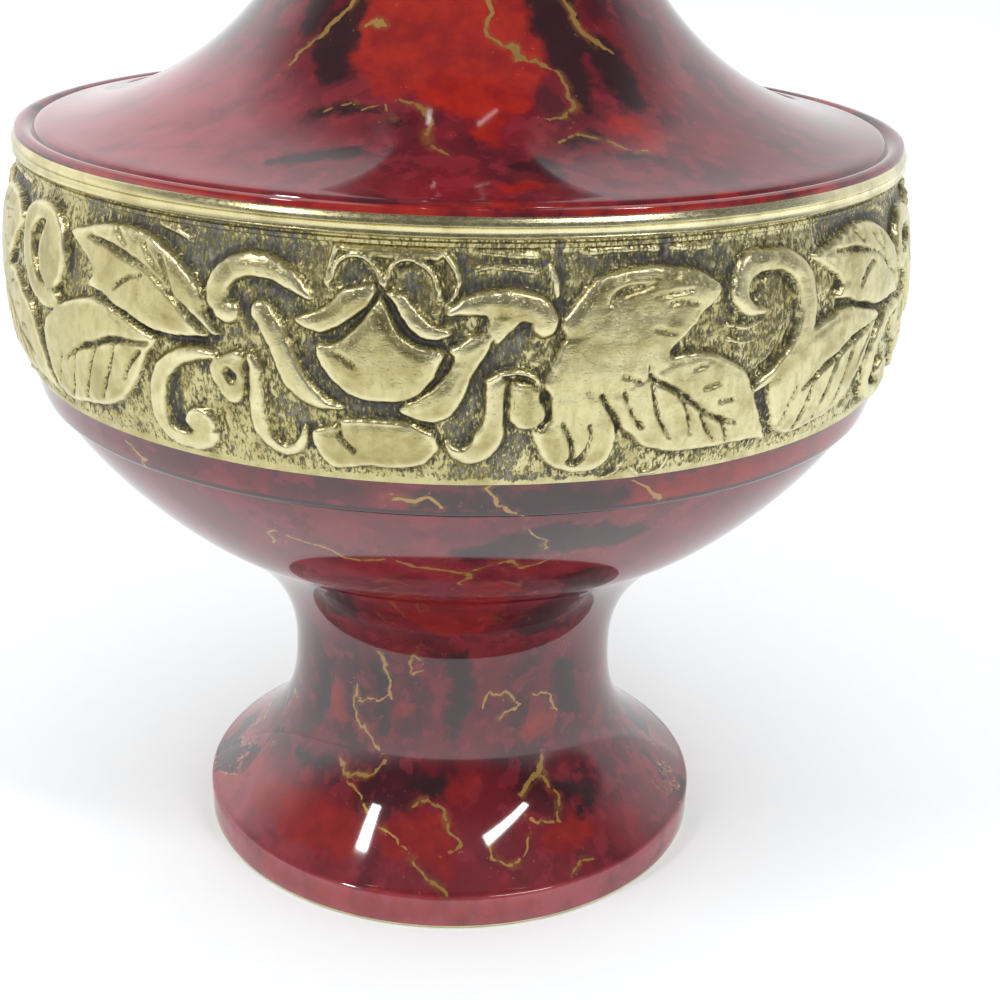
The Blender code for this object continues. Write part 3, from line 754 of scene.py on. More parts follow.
def ease(share):
    """A share from 0 to 1, slowed down at both ends."""
    share = np.clip(share, 0, 1)
    return share * share * (3 - 2 * share)


chance = np.random.default_rng(11)


def grain(width, height):
    """Soft random values from -1 to 1 with lumps of a width and a height in millimetres."""
    across, up = max(4, round(ROUND / width)), max(3, round(BAND_HEIGHT / height) + 2)
    lumps = chance.uniform(-1, 1, (up, across))
    lumps = np.hstack([lumps, lumps[:, :1]])
    u = np.linspace(0, across, COLUMNS, endpoint=False)
    v = np.linspace(0, up - 1.001, ROWS)
    i, j = u.astype(int), v.astype(int)
    fu, fv = ease(u - i)[None, :], ease(v - j)[:, None]
    low = lumps[np.ix_(j, i)] * (1 - fu) + lumps[np.ix_(j, i + 1)] * fu
    high = lumps[np.ix_(j + 1, i)] * (1 - fu) + lumps[np.ix_(j + 1, i + 1)] * fu
    return low * (1 - fv) + high * fv


print("grid:", COLUMNS, "x", ROWS)

# %% [markdown]
# ## Carving
#
# The grid is carved form by form. Each has a steep round shoulder at its edge and a back that
# swells a little towards the middle, and its edge wavers as a hand-cut one does. The highest form
# wins where two overlap. The cuts come last, because the chaser cuts the veins into finished
# leaves. The four roses share one drawing, but hands never repeat themselves, so every rose after
# the first drifts a little.

# %% Carve the height of the relief
def near(shape, rose, margin):
    """The grid's spots round a shape, and their x and y from the rose's axis."""
    low = np.floor((shape[:, :2].min(axis=0) - margin) / CELL).astype(int)
    high = np.ceil((shape[:, :2].max(axis=0) + margin) / CELL).astype(int)
    rows = np.arange(max(low[1], 0), min(high[1], ROWS - 1) + 1)
    columns = np.arange(low[0], high[0] + 1)
    x, y = np.meshgrid(columns * CELL, rows * CELL)
    return np.ix_(rows, (columns + round(rose * COLUMNS / ROSES)) % COLUMNS), x, y


def drifted(shape, rose):
    """The same shape, a little moved and bent on every rose but the first."""
    moved = shape.copy()
    if rose:
        moved[:, 0] += 0.25 * np.sin(shape[:, 1] * 0.31 + 2.1 * rose)
        moved[:, 0] += 0.12 * np.sin(shape[:, 0] * 0.5)
        moved[:, 1] += 0.22 * np.sin(shape[:, 0] * 0.27 + 1.7 * rose)
    return moved


ragged = 0.09 * grain(0.7, 0.7) + 0.06 * grain(0.4, 0.4)
carving, pools, shaded = (np.zeros((ROWS, COLUMNS)) for _ in range(3))
for rose in range(ROSES):
    strands = {**STRANDS, **HOOKS} if rose % 2 == 0 else STRANDS
    for share, outline in PLATES.values():
        shape = drifted(flowing(outline, True), rose)
        spots, x, y = near(shape, rose, SHOULDER_WIDTH)
        depth = plate_depth(x, y, shape) + 0.7 * ragged[spots]
        edge = ease(depth / 0.3) * (1 - ease((depth - 0.35) / 0.5))
        form = 0.68 * ease((depth + 0.1) / SHOULDER_WIDTH) + 0.28 * ease(depth / 1.6) + 0.08 * edge
        carving[spots] = np.maximum(carving[spots], share * form)
    for share, spine in strands.values():
        shape = drifted(flowing(spine, False), rose)
        widest = shape[:, 2].max()
        spots, x, y = near(shape, rose, widest + SHOULDER_WIDTH)
        depth = strand_depth(x, y, shape) + 0.7 * ragged[spots]
        form = 0.8 * ease((depth + 0.1) / min(SHOULDER_WIDTH + 0.1, widest + 0.1))
        form += 0.2 * ease(depth / widest)
        carving[spots] = np.maximum(carving[spots], share * form)
for rose in range(ROSES):
    for share, spine in CUTS.values():
        shape = drifted(flowing(spine, False), rose)
        widest = shape[:, 2].max()
        spots, x, y = near(shape, rose, widest + 0.3)
        depth = strand_depth(x, y, shape) + 0.7 * ragged[spots]
        cut = share * ease((depth + 0.12) / (widest + 0.12))
        carving[spots] -= 0.9 * cut * np.minimum(1, 3 * carving[spots] + 0.3)
    for grid, spines in ((pools, POOLS), (shaded, SHADES)):
        for spine in spines:
            shape = drifted(flowing(spine, False), rose)
            spots, x, y = near(shape, rose, shape[:, 2].max() + 0.8)
            depth = strand_depth(x, y, shape) + 2 * ragged[spots]
            grid[spots] = np.maximum(grid[spots], ease((depth + 0.5) / 0.9))
print("carved share of the band:", round(float((carving > 0.4).mean()), 2))

# %% [markdown]
# ## Punch marks and dents
#
# Between the forms the ground is matted: it was struck all over with small punches, so that it
# holds dark patina and lets the polished forms stand out. In the pools it lies lower and smooth. The
# forms themselves are hand-finished and never quite flat. A second grid, the guide, says how much
# polish a spot gets, and a third how deep it is sunk below what lies around it.

# %% Roughen the ground and dent the forms
rows_share = np.linspace(0, 1, ROWS)[:, None]
ground = 1 - ease(carving / 0.35)
low_forms = (1 - ground) * (1 - ease((carving - 0.5) / 0.12))
matting = 0.13 * grain(0.7, 0.7) + 0.09 * grain(0.45, 1.9) + 0.09 * grain(0.4, 0.4)
dents = 0.09 * grain(2.8, 2.2) + 0.055 * grain(1.0, 1.6) + 0.025 * grain(0.45, 0.6)
bottom_line = 1 - ease((rows_share * BAND_HEIGHT - 0.45 + 3 * ragged) / 0.3)
struck = (1 - 0.75 * pools) * (1 - bottom_line) * ease((1 - rows_share) / 0.02)
rough = matting * (ground + 0.7 * low_forms) * struck
surface = RELIEF * carving + rough - 0.1 * ground * pools + dents * (1 - ground)
tone = 0.62 + 0.08 * grain(9, 6) + 0.25 * grain(0.5, 5) * ease((rows_share - 0.7) / 0.2) - 0.36 * pools
guide = carving * (1.3 - 0.3 * carving) + ground * (tone + 0.9 * rough + 0.9 * bottom_line)


def softened(values, reach):
    """A running mean, wrapped round the belly."""
    width = 2 * reach + 1
    wrapped = np.hstack([values[:, -reach:], values, values[:, :reach]])
    sums = np.cumsum(np.pad(wrapped, ((0, 0), (1, 0))), axis=1)
    values = (sums[:, width:] - sums[:, :-width]) / width
    stacked = np.pad(values, ((reach, reach), (0, 0)), mode="edge")
    sums = np.cumsum(np.pad(stacked, ((1, 0), (0, 0))), axis=0)
    return (sums[width:] - sums[:-width]) / width


sunk = softened(softened(surface, 5), 5) - surface
print("surface, mm:", round(float(surface.min()), 2), "to", round(float(surface.max()), 2))

# %% [markdown]
# ## Turn the belly and push the relief out
#
# The belly is turned in two halves, so that each stays a mesh of a sensible size. Its outline has a
# point every fifth of a millimetre across the relief, then the turned brass ring above it. Every
# vertex of the outer skin is then pushed out by the height of the grid at its place, and keeps
# three values for the brass: how proud it stands, how deep it is sunk, and how brown it is.

# %% Turn the two halves of the belly
BELLY_ROWS = 112
SEAM_AZIMUTH = ROSE_AZIMUTH - 90
ring = [
    (BAND_TOP_RADIUS + 0.05, NECKING_LEVEL + 0.35),
    (BAND_TOP_RADIUS + 0.3, NECKING_LEVEL + 0.5),
    (BAND_TOP_RADIUS + 0.3, RING_LEVEL - 0.35),
    (BAND_TOP_RADIUS + 0.05, RING_LEVEL - 0.2),
    (BAND_TOP_RADIUS + 0.05, RING_LEVEL),
    (RING_RADIUS - 0.4, RING_LEVEL + 0.08),
    (RING_RADIUS - 0.2, RING_LEVEL + 0.2),
    (RING_RADIUS - 0.08, RING_LEVEL + 0.4),
    (RING_RADIUS - 0.16, RING_LEVEL + 0.55),
    (RING_RADIUS - 0.2, RING_LEVEL + 0.9),
    (RING_RADIUS - 0.16, RING_LEVEL + 1.2),
    (RING_RADIUS - 0.26, RING_LEVEL + 1.3),
    (RING_RADIUS - 0.04, RING_LEVEL + 1.42),
    (RING_RADIUS - 0.05, RING_LEVEL + 1.6),
    (RING_RADIUS - 0.2, RIM_LEVEL),
]
shares = np.linspace(0, 1, BELLY_ROWS + 1)
belly_outline = [(ground_radius(share), BAND_LEVEL + share * BAND_HEIGHT) for share in shares]
belly_back = [
    (ground_radius(share) - WALL, BAND_LEVEL + share * BAND_HEIGHT) for share in (1, 0.5, 0)
]
belly_outline += ring + [(RING_RADIUS - 2 * WALL, RIM_LEVEL)] + belly_back
belly_halves = [
    turned("belly_front", belly_outline, 720, SEAM_AZIMUTH, 180.0),
    turned("belly_back", belly_outline, 720, SEAM_AZIMUTH + 180, 180.0),
]


def sampled(grid, azimuth, height):
    """Values of the unrolled grid at given places, mixed between its cells."""
    u = ((azimuth - ROSE_AZIMUTH) / 360 * COLUMNS) % COLUMNS
    v = np.clip((height - BAND_LEVEL) / CELL, 0, ROWS - 1.001)
    i, j = u.astype(int), v.astype(int)
    fu, fv = u - i, v - j
    i, after = i % COLUMNS, (i + 1) % COLUMNS
    low = grid[j, i] * (1 - fu) + grid[j, after] * fu
    high = grid[j + 1, i] * (1 - fu) + grid[j + 1, after] * fu
    return low * (1 - fv) + high * fv


for half in belly_halves:
    azimuth, radius, height = places(half)
    share = (height - BAND_LEVEL) / BAND_HEIGHT
    skin = (share > -0.001) & (share < 1.001) & (radius > ground_radius(share) - 0.5)
    push = np.where(skin, sampled(surface, azimuth, height), 0)
    angle = np.radians(azimuth)
    outer = radius + push
    spots = np.stack([outer * np.sin(angle), -outer * np.cos(angle), height], axis=1) * MM
    half.data.vertices.foreach_set("co", spots.ravel().astype(np.float32))
    half.data.update()
    below_ring = (height < RING_LEVEL + 0.05) & (radius > ground_radius(np.minimum(share, 1)) - 0.5)
    keep_value(half, "proud", np.where(below_ring, sampled(guide, azimuth, height), 1))
    keep_value(half, "sunk", np.where(skin, sampled(sunk, azimuth, height), 0))
    keep_value(half, "shaded", np.where(skin, sampled(shaded, azimuth, height), 0))
    print(half.name, "widest, mm:", round(float(outer.max()), 2))

# %% [markdown]
# ## Where the lacquer changes colour
#
# Marbled lacquer is dabbed on wet: patches of scarlet and black float on a crimson coat, and a thin
# gold size runs along their edges. Most of that is left to noise in the material. On the front the
# patches are given as strokes on the turned surface, each a list of azimuth in degrees, height and
# half width in millimetres, because there the eye compares them with the real vase. Each vertex
# keeps how far it is from the nearest stroke, and a share that says whether the strokes or the
# noise rule there. It fades towards the sides and up the neck.

# %% Patches and veins given as strokes
SCARLET = [
    [(-19, 115, 4.5), (-17, 111, 4.6), (-13, 108, 2.6)],
    [(-8, 120, 8), (-6, 114, 6), (-4, 109, 4.5), (3, 106, 2.4), (5, 103, 1)],
    [(4, 119, 6.5), (5, 113, 5), (8, 109.5, 4.5), (9, 107, 2.6)],
    [(14, 112, 2), (16, 109.5, 1.4)],
    [(6, 100.2, 1.2), (9, 100.4, 0.9)],
    [(-48, 98.95, 0.8), (-30, 98.95, 1.2), (-8, 98.95, 1.3), (20, 98.95, 1.3), (46, 98.95, 0.8)],
    [(27, 104.5, 1.3), (32, 103.5, 1.5), (28, 102, 1)],
    [(-58, 8.5, 2.5), (-40, 8.8, 3.4), (-27, 8.5, 3)],
    [(-14, 9.5, 2.6), (-6, 10, 3.4), (-1, 8, 2)],
    [(3, 14.5, 1.8), (6, 15.5, 1.4)],
    # Painted reflection: this stroke lightens the foot's edge where its gloss shows the bright floor.
    [(-44, 2.6, 1.3), (-22, 2.6, 1.7), (-8, 2.8, 1.8), (8, 2.6, 1.5), (20, 2.6, 1)],
    [(28, 8.5, 2), (36, 8.6, 2.2)],
    [(29, 21.3, 2), (34, 21.6, 1.7)],
    [(-17, 24.7, 1.3)],
    [(-12, 32, 1)],
    [(-43, 22, 1.6), (-44, 25, 1.2)],
    [(-12, 48, 5), (0, 42, 5), (6, 52, 3)],
    [(16, 67.5, 1.1), (30, 68.6, 1.6), (45, 68.8, 1.6), (62, 68.6, 1.4)],
]
BLACK = [
    [(-29, 119, 1), (-30, 115, 1.7), (-31, 111.5, 3), (-28, 108.6, 2)],
    [(-43, 117, 2.4), (-40, 112.5, 1.6)],
    [(23, 121, 3.4), (23, 115.5, 3), (24, 112, 2.8), (23, 108.5, 1.8), (23, 106, 1)],
    [(33, 110.5, 2.4), (34, 106.5, 2)],
    [(6, 101.6, 0.9), (10, 101.5, 1.5), (12, 100.6, 0.9)],
    [(22, 101.9, 0.8), (28, 101.7, 0.9)],
    [(-26, 104.6, 0.6), (-20, 105.4, 0.7), (-14, 105.2, 0.6), (-11, 104.6, 0.9)],
    [(-24, 101.2, 1.6), (-16, 102, 1.2)],
    [(17, 103, 0.8), (22, 103.6, 1)],
    [(-11, 15.2, 1), (-5, 15, 1.3)],
    [(36, 13.2, 1.1), (44, 11.5, 1.4), (38, 9.5, 0.7)],
    [(-56, 13.6, 1), (-45, 14.4, 1.2)],
    [(-24, 32, 1.6), (-25, 26, 1.4), (-23, 21, 0.8)],
    [(1, 34, 1.5), (3, 28, 1.8), (0, 22, 1)],
    [(42, 29, 2), (45, 23, 1.4)],
    [(-52, 20, 1.4), (-50, 27, 1)],
    [(-32, 42, 3.5), (-26, 47, 3)],
    [(22, 40, 3), (26, 47, 3.5), (20, 54, 2.6)],
    [(3, 60, 2.2), (12, 62.5, 3), (22, 62, 2.4)],
    [(-4, 68.6, 1.3), (8, 68.5, 1.8), (18, 68.3, 1.7)],
]
VEINS = [
    [(-29, 117, 0.24), (-32, 114, 0.32), (-35, 112, 0.24), (-37, 110.5, 0.28), (-39, 108.6, 0.16)],
    [(-24, 113, 0.24), (-21, 113.4, 0.48), (-19, 113.3, 0.24)],
    [(6, 120, 0.24), (6.5, 115, 0.28), (5, 112.6, 0.24), (8, 111.8, 0.2), (11.5, 111.4, 0.4),
     (12, 110.3, 0.32), (16.5, 110.2, 0.24), (19.5, 109, 0.24), (21, 106.2, 0.2), (18, 105.2, 0.24),
     (14, 105, 0.16)],
    [(26, 118, 0.2), (29, 113.8, 0.32), (31, 112.2, 0.4), (33, 111.2, 0.24), (37, 110.4, 0.16)],
    [(-11, 106.4, 0.2), (-7, 105.7, 0.32), (-5, 104.3, 0.28), (-5, 103, 0.2), (-2, 102.2, 0.24)],
    [(-25, 104.9, 0.14), (-20, 105.9, 0.16), (-18, 105.3, 0.16), (-14, 105.9, 0.16),
     (-12, 104.7, 0.14)],
    [(15, 103.2, 0.2), (19, 103.7, 0.24), (23, 103.2, 0.2), (26, 102.2, 0.16), (29, 102.3, 0.14)],
    [(-39, 15.8, 0.16), (-35, 14.4, 0.28), (-28, 14.8, 0.24), (-23, 16.4, 0.16), (-21, 17.4, 0.16)],
    [(-33, 13.8, 0.2), (-27, 12.4, 0.16), (-23, 11, 0.14), (-16, 9.6, 0.2), (-11, 8.6, 0.14)],
    [(-12, 12.6, 0.14), (-6, 13.5, 0.2), (-2.5, 12.5, 0.2), (0.5, 10.4, 0.24), (3, 9.2, 0.2),
     (-0.5, 8.4, 0.14)],
    [(22, 13.6, 0.3), (27, 15, 0.4), (30, 16.2, 0.35), (32, 17.2, 0.24)],
    [(31, 14.8, 0.2), (33.5, 11.8, 0.24), (31, 10, 0.2), (25, 10.3, 0.2), (22, 11.4, 0.14)],
    [(10, 9.4, 0.16), (10.5, 7.8, 0.16), (15, 7.1, 0.2), (19, 7.5, 0.16), (20.5, 9.2, 0.14)],
    [(28, 5.3, 0.14), (31, 6, 0.2), (35, 5.8, 0.16)],
    [(-9, 7.8, 0.14), (-5, 6.2, 0.24), (0, 4.6, 0.16), (3, 3.8, 0.24), (5, 1.8, 0.2)],
    [(-34, 27.4, 0.14), (-36, 24.6, 0.16), (-35, 22, 0.16), (-30, 20.6, 0.16), (-25, 18.6, 0.16)],
    [(-24, 33.4, 0.24), (-22, 29.8, 0.2), (-21, 26.4, 0.16), (-29, 25.4, 0.14), (-34, 24.6, 0.14)],
    [(-10, 33.2, 0.14), (-12, 34.2, 0.16), (-14.5, 32.4, 0.14), (-13, 30.8, 0.14),
     (-10, 31.4, 0.14)],
    [(10, 25.6, 0.14), (13, 27.8, 0.16), (20, 27.4, 0.16), (23.5, 25.4, 0.16), (17, 24, 0.14)],
    [(29, 26.6, 0.14), (36, 25.8, 0.14), (39, 23, 0.14)],
    [(-26, 58, 0.14), (-24, 61, 0.16), (-18, 59.6, 0.2), (-15, 57.6, 0.24), (-9, 58.4, 0.16),
     (-3, 57, 0.28), (2, 56.2, 0.32), (1, 53.6, 0.24)],
    [(4, 57.2, 0.16), (7, 58.8, 0.2), (10, 57, 0.24), (14, 59.4, 0.14)],
    [(-9.5, 66.4, 0.14), (-8, 68.6, 0.2), (-3, 68.9, 0.2), (-1, 67, 0.16)],
    [(4, 70.4, 0.2), (4.2, 67.8, 0.2), (7.5, 67, 0.16), (9, 64.4, 0.16), (12, 60.5, 0.14)],
    [(20.5, 70.2, 0.16), (22.5, 68.4, 0.2), (24.5, 67.2, 0.16)],
    [(-42, 69.4, 0.16), (-39, 67.8, 0.2), (-40, 66.6, 0.14)],
]


def distance_to_strokes(piece, strokes, farthest=6.0):
    """For each vertex, millimetres to the edge of the nearest stroke, negative inside it.

    The second result is the way to the stroke's middle, in half widths. Unlike the distance it
    passes through nought evenly, so that even a line finer than the mesh stays whole.
    """
    azimuth, radius, height = places(piece)
    azimuth = azimuth + 0.5 * np.sin(height * 1.9) + 0.3 * np.sin(height * 4.3 + 1)
    height = height + 0.25 * np.sin(azimuth * 0.9) + 0.15 * np.sin(azimuth * 2.3)
    angle = np.radians(azimuth)
    spots = np.stack([radius * np.sin(angle), -radius * np.cos(angle), height], axis=1)
    nearest = np.full(len(spots), farthest)
    offset = np.full((len(spots), 3), 99.0)
    for stroke in strokes:
        centres = []
        for degrees, level, half_width in stroke:
            reach = np.interp(level, outside[:, 1], outside[:, 0])
            turn = math.radians(degrees)
            centres.append((reach * math.sin(turn), -reach * math.cos(turn), level, half_width))
        centres = np.array(centres * 2 if len(centres) == 1 else centres)
        for start, end in zip(centres, centres[1:]):
            run = end[:3] - start[:3]
            t = ((spots - start[:3]) @ run / (run @ run + 1e-9)).clip(0, 1)
            from_middle = spots - start[:3] - t[:, None] * run
            half_width = start[3] + (end[3] - start[3]) * t
            distance = np.linalg.norm(from_middle, axis=1) - half_width
            closer = distance < nearest
            nearest = np.where(closer, distance, nearest)
            offset = np.where(closer[:, None], from_middle / half_width[:, None], offset)
    return nearest, offset


FRONT_EDGE, FRONT_FADE = 78, 14
PLACED_TOP, TOP_FADE = 121, 6
for piece in (foot_and_bowl, neck_and_mouth):
    azimuth, radius, height = places(piece)
    front = ease((FRONT_EDGE - np.abs(azimuth)) / FRONT_FADE) * ease((PLACED_TOP - height) / TOP_FADE)
    keep_value(piece, "by_hand", front)
    keep_value(piece, "scarlet", distance_to_strokes(piece, SCARLET)[0])
    keep_value(piece, "black", distance_to_strokes(piece, BLACK)[0])
    vein_distance, vein_offset = distance_to_strokes(piece, VEINS)
    keep_value(piece, "vein", vein_distance)
    layer = piece.data.attributes.new("vein_offset", "FLOAT_VECTOR", "POINT")
    layer.data.foreach_set("vector", np.ascontiguousarray(vein_offset.ravel(), np.float32))
print("strokes:", len(SCARLET) + len(BLACK) + len(VEINS))

# %% [markdown]
# ## Helpers for materials
#
# A procedural material is a small network of nodes. These helpers add one node each and return its
# output, so that a material reads from top to bottom like a recipe.

# %% Node helpers
def add(tree, kind, settings=(), **inputs):
    """Add a node, set its options, then link or set its inputs; underscores stand for spaces."""
    node = tree.nodes.new(kind)
    for name, value in dict(settings).items():
        setattr(node, name, value)
    for name, value in inputs.items():
        name = int(name[1:]) if name[1:].isdigit() else name.replace("_", " ")
        socket = node.inputs[name]
        if isinstance(value, bpy.types.NodeSocket):
            tree.links.new(value, socket)
        else:
            socket.default_value = value
    return node


def count(tree, operation, first, second=0.0):
    """One step of arithmetic."""
    return add(tree, "ShaderNodeMath", {"operation": operation}, i0=first, i1=second).outputs[0]


def between(tree, value, low, high, start=0.0, end=1.0):
    """Bring a value from low..high to start..end along a soft curve."""
    kind = {"interpolation_type": "SMOOTHSTEP"}
    return add(tree, "ShaderNodeMapRange", kind, Value=value, From_Min=low, From_Max=high,
               To_Min=start, To_Max=end).outputs["Result"]


def at_height(tree, level, low, high, start=0.0, end=1.0):
    """The same for a height, from low..high in millimetres."""
    return between(tree, level, low * MM, high * MM, start, end)


def blend(tree, share, first, second):
    """Mix two colours."""
    first, second = ((*c, 1) if isinstance(c, tuple) else c for c in (first, second))
    mix = add(tree, "ShaderNodeMix", {"data_type": "RGBA"}, i0=share, i6=first, i7=second)
    return mix.outputs[2]


def noise(tree, place, lump, detail=3.0, roughness=0.55):
    """Noise from 0 to 1 with lumps of a size in millimetres."""
    return add(tree, "ShaderNodeTexNoise", Vector=place, Scale=1 / (lump * MM), Detail=detail,
               Roughness=roughness).outputs[0]


def stretched(tree, place, across, up):
    """The same place in coordinates that run slower or faster across and up."""
    return add(tree, "ShaderNodeMapping", Vector=place, Scale=(across, across, up)).outputs[0]


def kept(tree, name):
    """A number that the vertices keep."""
    return add(tree, "ShaderNodeAttribute", {"attribute_name": name}).outputs["Fac"]


def new_group(name, inputs, outputs):
    """A shader group with named float or vector inputs and float outputs."""
    tree = bpy.data.node_groups.new(name, "ShaderNodeTree")
    for title, kind in inputs.items():
        tree.interface.new_socket(title, in_out="INPUT", socket_type=kind)
    for title in outputs:
        tree.interface.new_socket(title, in_out="OUTPUT", socket_type="NodeSocketFloat")
    return tree, tree.nodes.new("NodeGroupInput").outputs, tree.nodes.new("NodeGroupOutput").inputs


def use(tree, group, **inputs):
    """Place a group in a material and return its outputs."""
    return add(tree, "ShaderNodeGroup", {"node_tree": group}, **inputs).outputs


def new_material(name):
    """An empty material with its Principled shader, and where on the piece each spot is."""
    material = bpy.data.materials.new(name)
    material.use_nodes = True
    tree = material.node_tree
    shader = tree.nodes["Principled BSDF"]
    place = tree.nodes.new("ShaderNodeTexCoord").outputs["Object"]
    return material, tree, shader, place


print("helpers ready")

# %% [markdown]
# ## Shared effects
#
# Two effects return again and again, so each is built once as a group. Torn patches, which the
# lacquer uses in three sizes, have the ragged, angular edge of dabbed paint: noise whose place is
# first shifted by other noise. Worn metal gives all the brass its slow change of gloss, its stains
# and its fine scratches.

# %% Groups for torn patches and worn metal
torn_patches, given, result = new_group(
    "torn patches",
    {"Vector": "NodeSocketVector", "Size": "NodeSocketFloat", "Tear": "NodeSocketFloat"},
    ["Value"],
)
scale = count(torn_patches, "DIVIDE", 1000.0, given["Size"])
shift = add(torn_patches, "ShaderNodeTexNoise", Vector=given["Vector"], Scale=420.0, Detail=3.0,
            Roughness=0.6).outputs["Color"]
centred = add(torn_patches, "ShaderNodeVectorMath", {"operation": "SUBTRACT"}, i0=shift,
              i1=(0.5, 0.5, 0.5)).outputs[0]
reach = count(torn_patches, "MULTIPLY", given["Tear"], MM)
moved = add(torn_patches, "ShaderNodeVectorMath", {"operation": "SCALE"}, i0=centred,
            Scale=reach).outputs[0]
place = add(torn_patches, "ShaderNodeVectorMath", {"operation": "ADD"}, i0=given["Vector"],
            i1=moved).outputs[0]
patches = add(torn_patches, "ShaderNodeTexNoise", Vector=place, Scale=scale, Detail=4.0,
              Roughness=0.5).outputs[0]
torn_patches.links.new(patches, result["Value"])

worn_metal, given, result = new_group(
    "worn metal", {"Vector": "NodeSocketVector"}, ["Stain", "Scratch", "Height"]
)
stain = between(worn_metal, noise(worn_metal, given["Vector"], 5.0, 4.0, 0.6), 0.42, 0.66)
fine = noise(worn_metal, stretched(worn_metal, given["Vector"], 1.0, 3.0), 0.7, 3.0, 0.7)
pits = between(worn_metal, noise(worn_metal, given["Vector"], 0.35, 2.0, 0.6), 0.55, 0.75)
worn_metal.links.new(stain, result["Stain"])
worn_metal.links.new(fine, result["Scratch"])
worn_metal.links.new(count(worn_metal, "SUBTRACT", fine, pits), result["Height"])
print("groups:", [group.name for group in bpy.data.node_groups])

# %% [markdown]
# ## The lacquer
#
# The coat is crimson, mottled with maroon, and rosier on the foot, the bowl and the shoulder. On
# the shoulder and the flare the rosy tint grows towards the left as a painted reflection of the
# brighter side, and the foot's edge is rosy as a painted reflection of the floor.
# Scarlet and black patches lie in it, and a gold line with an amber stain beside it follows part of
# their edges. In the corner under the fillet a dark band is painted shade. The listed strokes rule
# the front, and their edges are torn by the same noise as the free patches. A clear hard coat gives
# the deep wet gloss, while the colour beneath stays soft.

# %% Material for the lacquer
SCARLET_COLOUR = (0.29, 0.017, 0.010)
DEEP_SCARLET = (0.19, 0.010, 0.010)
PINK_CRIMSON = (0.19, 0.016, 0.024)
CRIMSON_COLOUR = (0.115, 0.0065, 0.012)
MAROON_COLOUR = (0.040, 0.005, 0.009)
BLACK_COLOUR = (0.018, 0.007, 0.009)
ROSE_AND_REFLECTION_COLOUR = (0.31, 0.052, 0.066)
AMBER_COLOUR = (0.19, 0.075, 0.025)
GOLD_COLOUR = (0.33, 0.19, 0.05)

lacquer, tree, shader, place = new_material("marbled_lacquer")
tall = stretched(tree, place, 1.0, 0.6)
free_black = use(tree, torn_patches, Vector=tall, Size=13.0, Tear=9.0)[0]
free_red = use(tree, torn_patches, Vector=stretched(tree, place, 1.1, 0.7), Size=16.0, Tear=7.0)[0]
tear = count(tree, "SUBTRACT", noise(tree, place, 2.6, 4.0, 0.65), 0.5)
free = count(tree, "SUBTRACT", 1.0, kept(tree, "by_hand"))

torn_edge = count(tree, "MULTIPLY", tear, 4.5)
hand_black = between(tree, count(tree, "ADD", kept(tree, "black"), torn_edge), 0.8, -0.8)
loose_black = count(tree, "MULTIPLY", between(tree, free_black, 0.56, 0.61), free)
black = count(tree, "MULTIPLY", count(tree, "MAXIMUM", hand_black, loose_black), 0.92)
hand_red = between(tree, count(tree, "ADD", kept(tree, "scarlet"), torn_edge), 0.9, -0.9)
loose_red = count(tree, "MULTIPLY", between(tree, free_red, 0.54, 0.60), free)
sideways, _, level = add(tree, "ShaderNodeSeparateXYZ", Vector=place).outputs
strength = at_height(tree, level, 60, RIM_LEVEL - 0.3, 0.6, 1.0)
red = count(tree, "MULTIPLY", count(tree, "MAXIMUM", hand_red, loose_red), strength)

across = add(tree, "ShaderNodeAttribute", {"attribute_name": "vein_offset"}).outputs["Vector"]
across = add(tree, "ShaderNodeVectorMath", {"operation": "LENGTH"}, i0=across).outputs["Value"]
wander = count(tree, "SUBTRACT", noise(tree, place, 0.9, 3.0, 0.6), 0.5)
wander = count(tree, "MULTIPLY", wander, 2.6)
hand_vein = count(tree, "MULTIPLY", between(tree, count(tree, "ADD", across, wander), 1.3, 0.8),
                  between(tree, kept(tree, "vein"), 1.2, 0.8))
broken = between(tree, noise(tree, place, 5.0, 2.0), 0.48, 0.58)
line = count(tree, "ABSOLUTE", count(tree, "SUBTRACT", free_black, 0.58))
loose_vein = count(tree, "MULTIPLY", between(tree, line, 0.009, 0.003), broken)
vein = count(tree, "MAXIMUM", hand_vein, count(tree, "MULTIPLY", loose_vein, free))
specks = count(tree, "MULTIPLY", between(tree, noise(tree, place, 0.8, 2.0), 0.70, 0.74),
               between(tree, kept(tree, "vein"), 4.0, 0.0))
gold = count(tree, "MAXIMUM", vein, count(tree, "MULTIPLY", specks, 0.6))

mottle = between(tree, noise(tree, tall, 7.0, 5.0, 0.6), 0.36, 0.62)
colour = blend(tree, mottle, MAROON_COLOUR, CRIMSON_COLOUR)
dabs = between(tree, use(tree, torn_patches, Vector=place, Size=3.2, Tear=2.0)[0], 0.52, 0.60)
colour = blend(tree, count(tree, "MULTIPLY", dabs, 0.5), colour, PINK_CRIMSON)
on_shoulder = count(tree, "MULTIPLY",
                    at_height(tree, level, SHOULDER_LEVEL - 0.1, SHOULDER_LEVEL + 0.7),
                    at_height(tree, level, SHOULDER_LEVEL + 12, SHOULDER_LEVEL + 5))
on_flare = at_height(tree, level, FOOT_EDGE_HEIGHT + 10.1, FOOT_EDGE_HEIGHT + 3.1)
# Partly painted reflection: the shoulder and the flare turn rosier towards the left, the brighter
# side.
rosy_and_painted_reflection = count(tree, "MULTIPLY", count(tree, "MAXIMUM", on_shoulder, on_flare),
             between(tree, sideways, -8 * MM, -34 * MM, 0.16, 1.0))
foot_blush = at_height(tree, level, FOOT_EDGE_HEIGHT + 9.1, FOOT_EDGE_HEIGHT + 3.1, 0.0, 0.3)
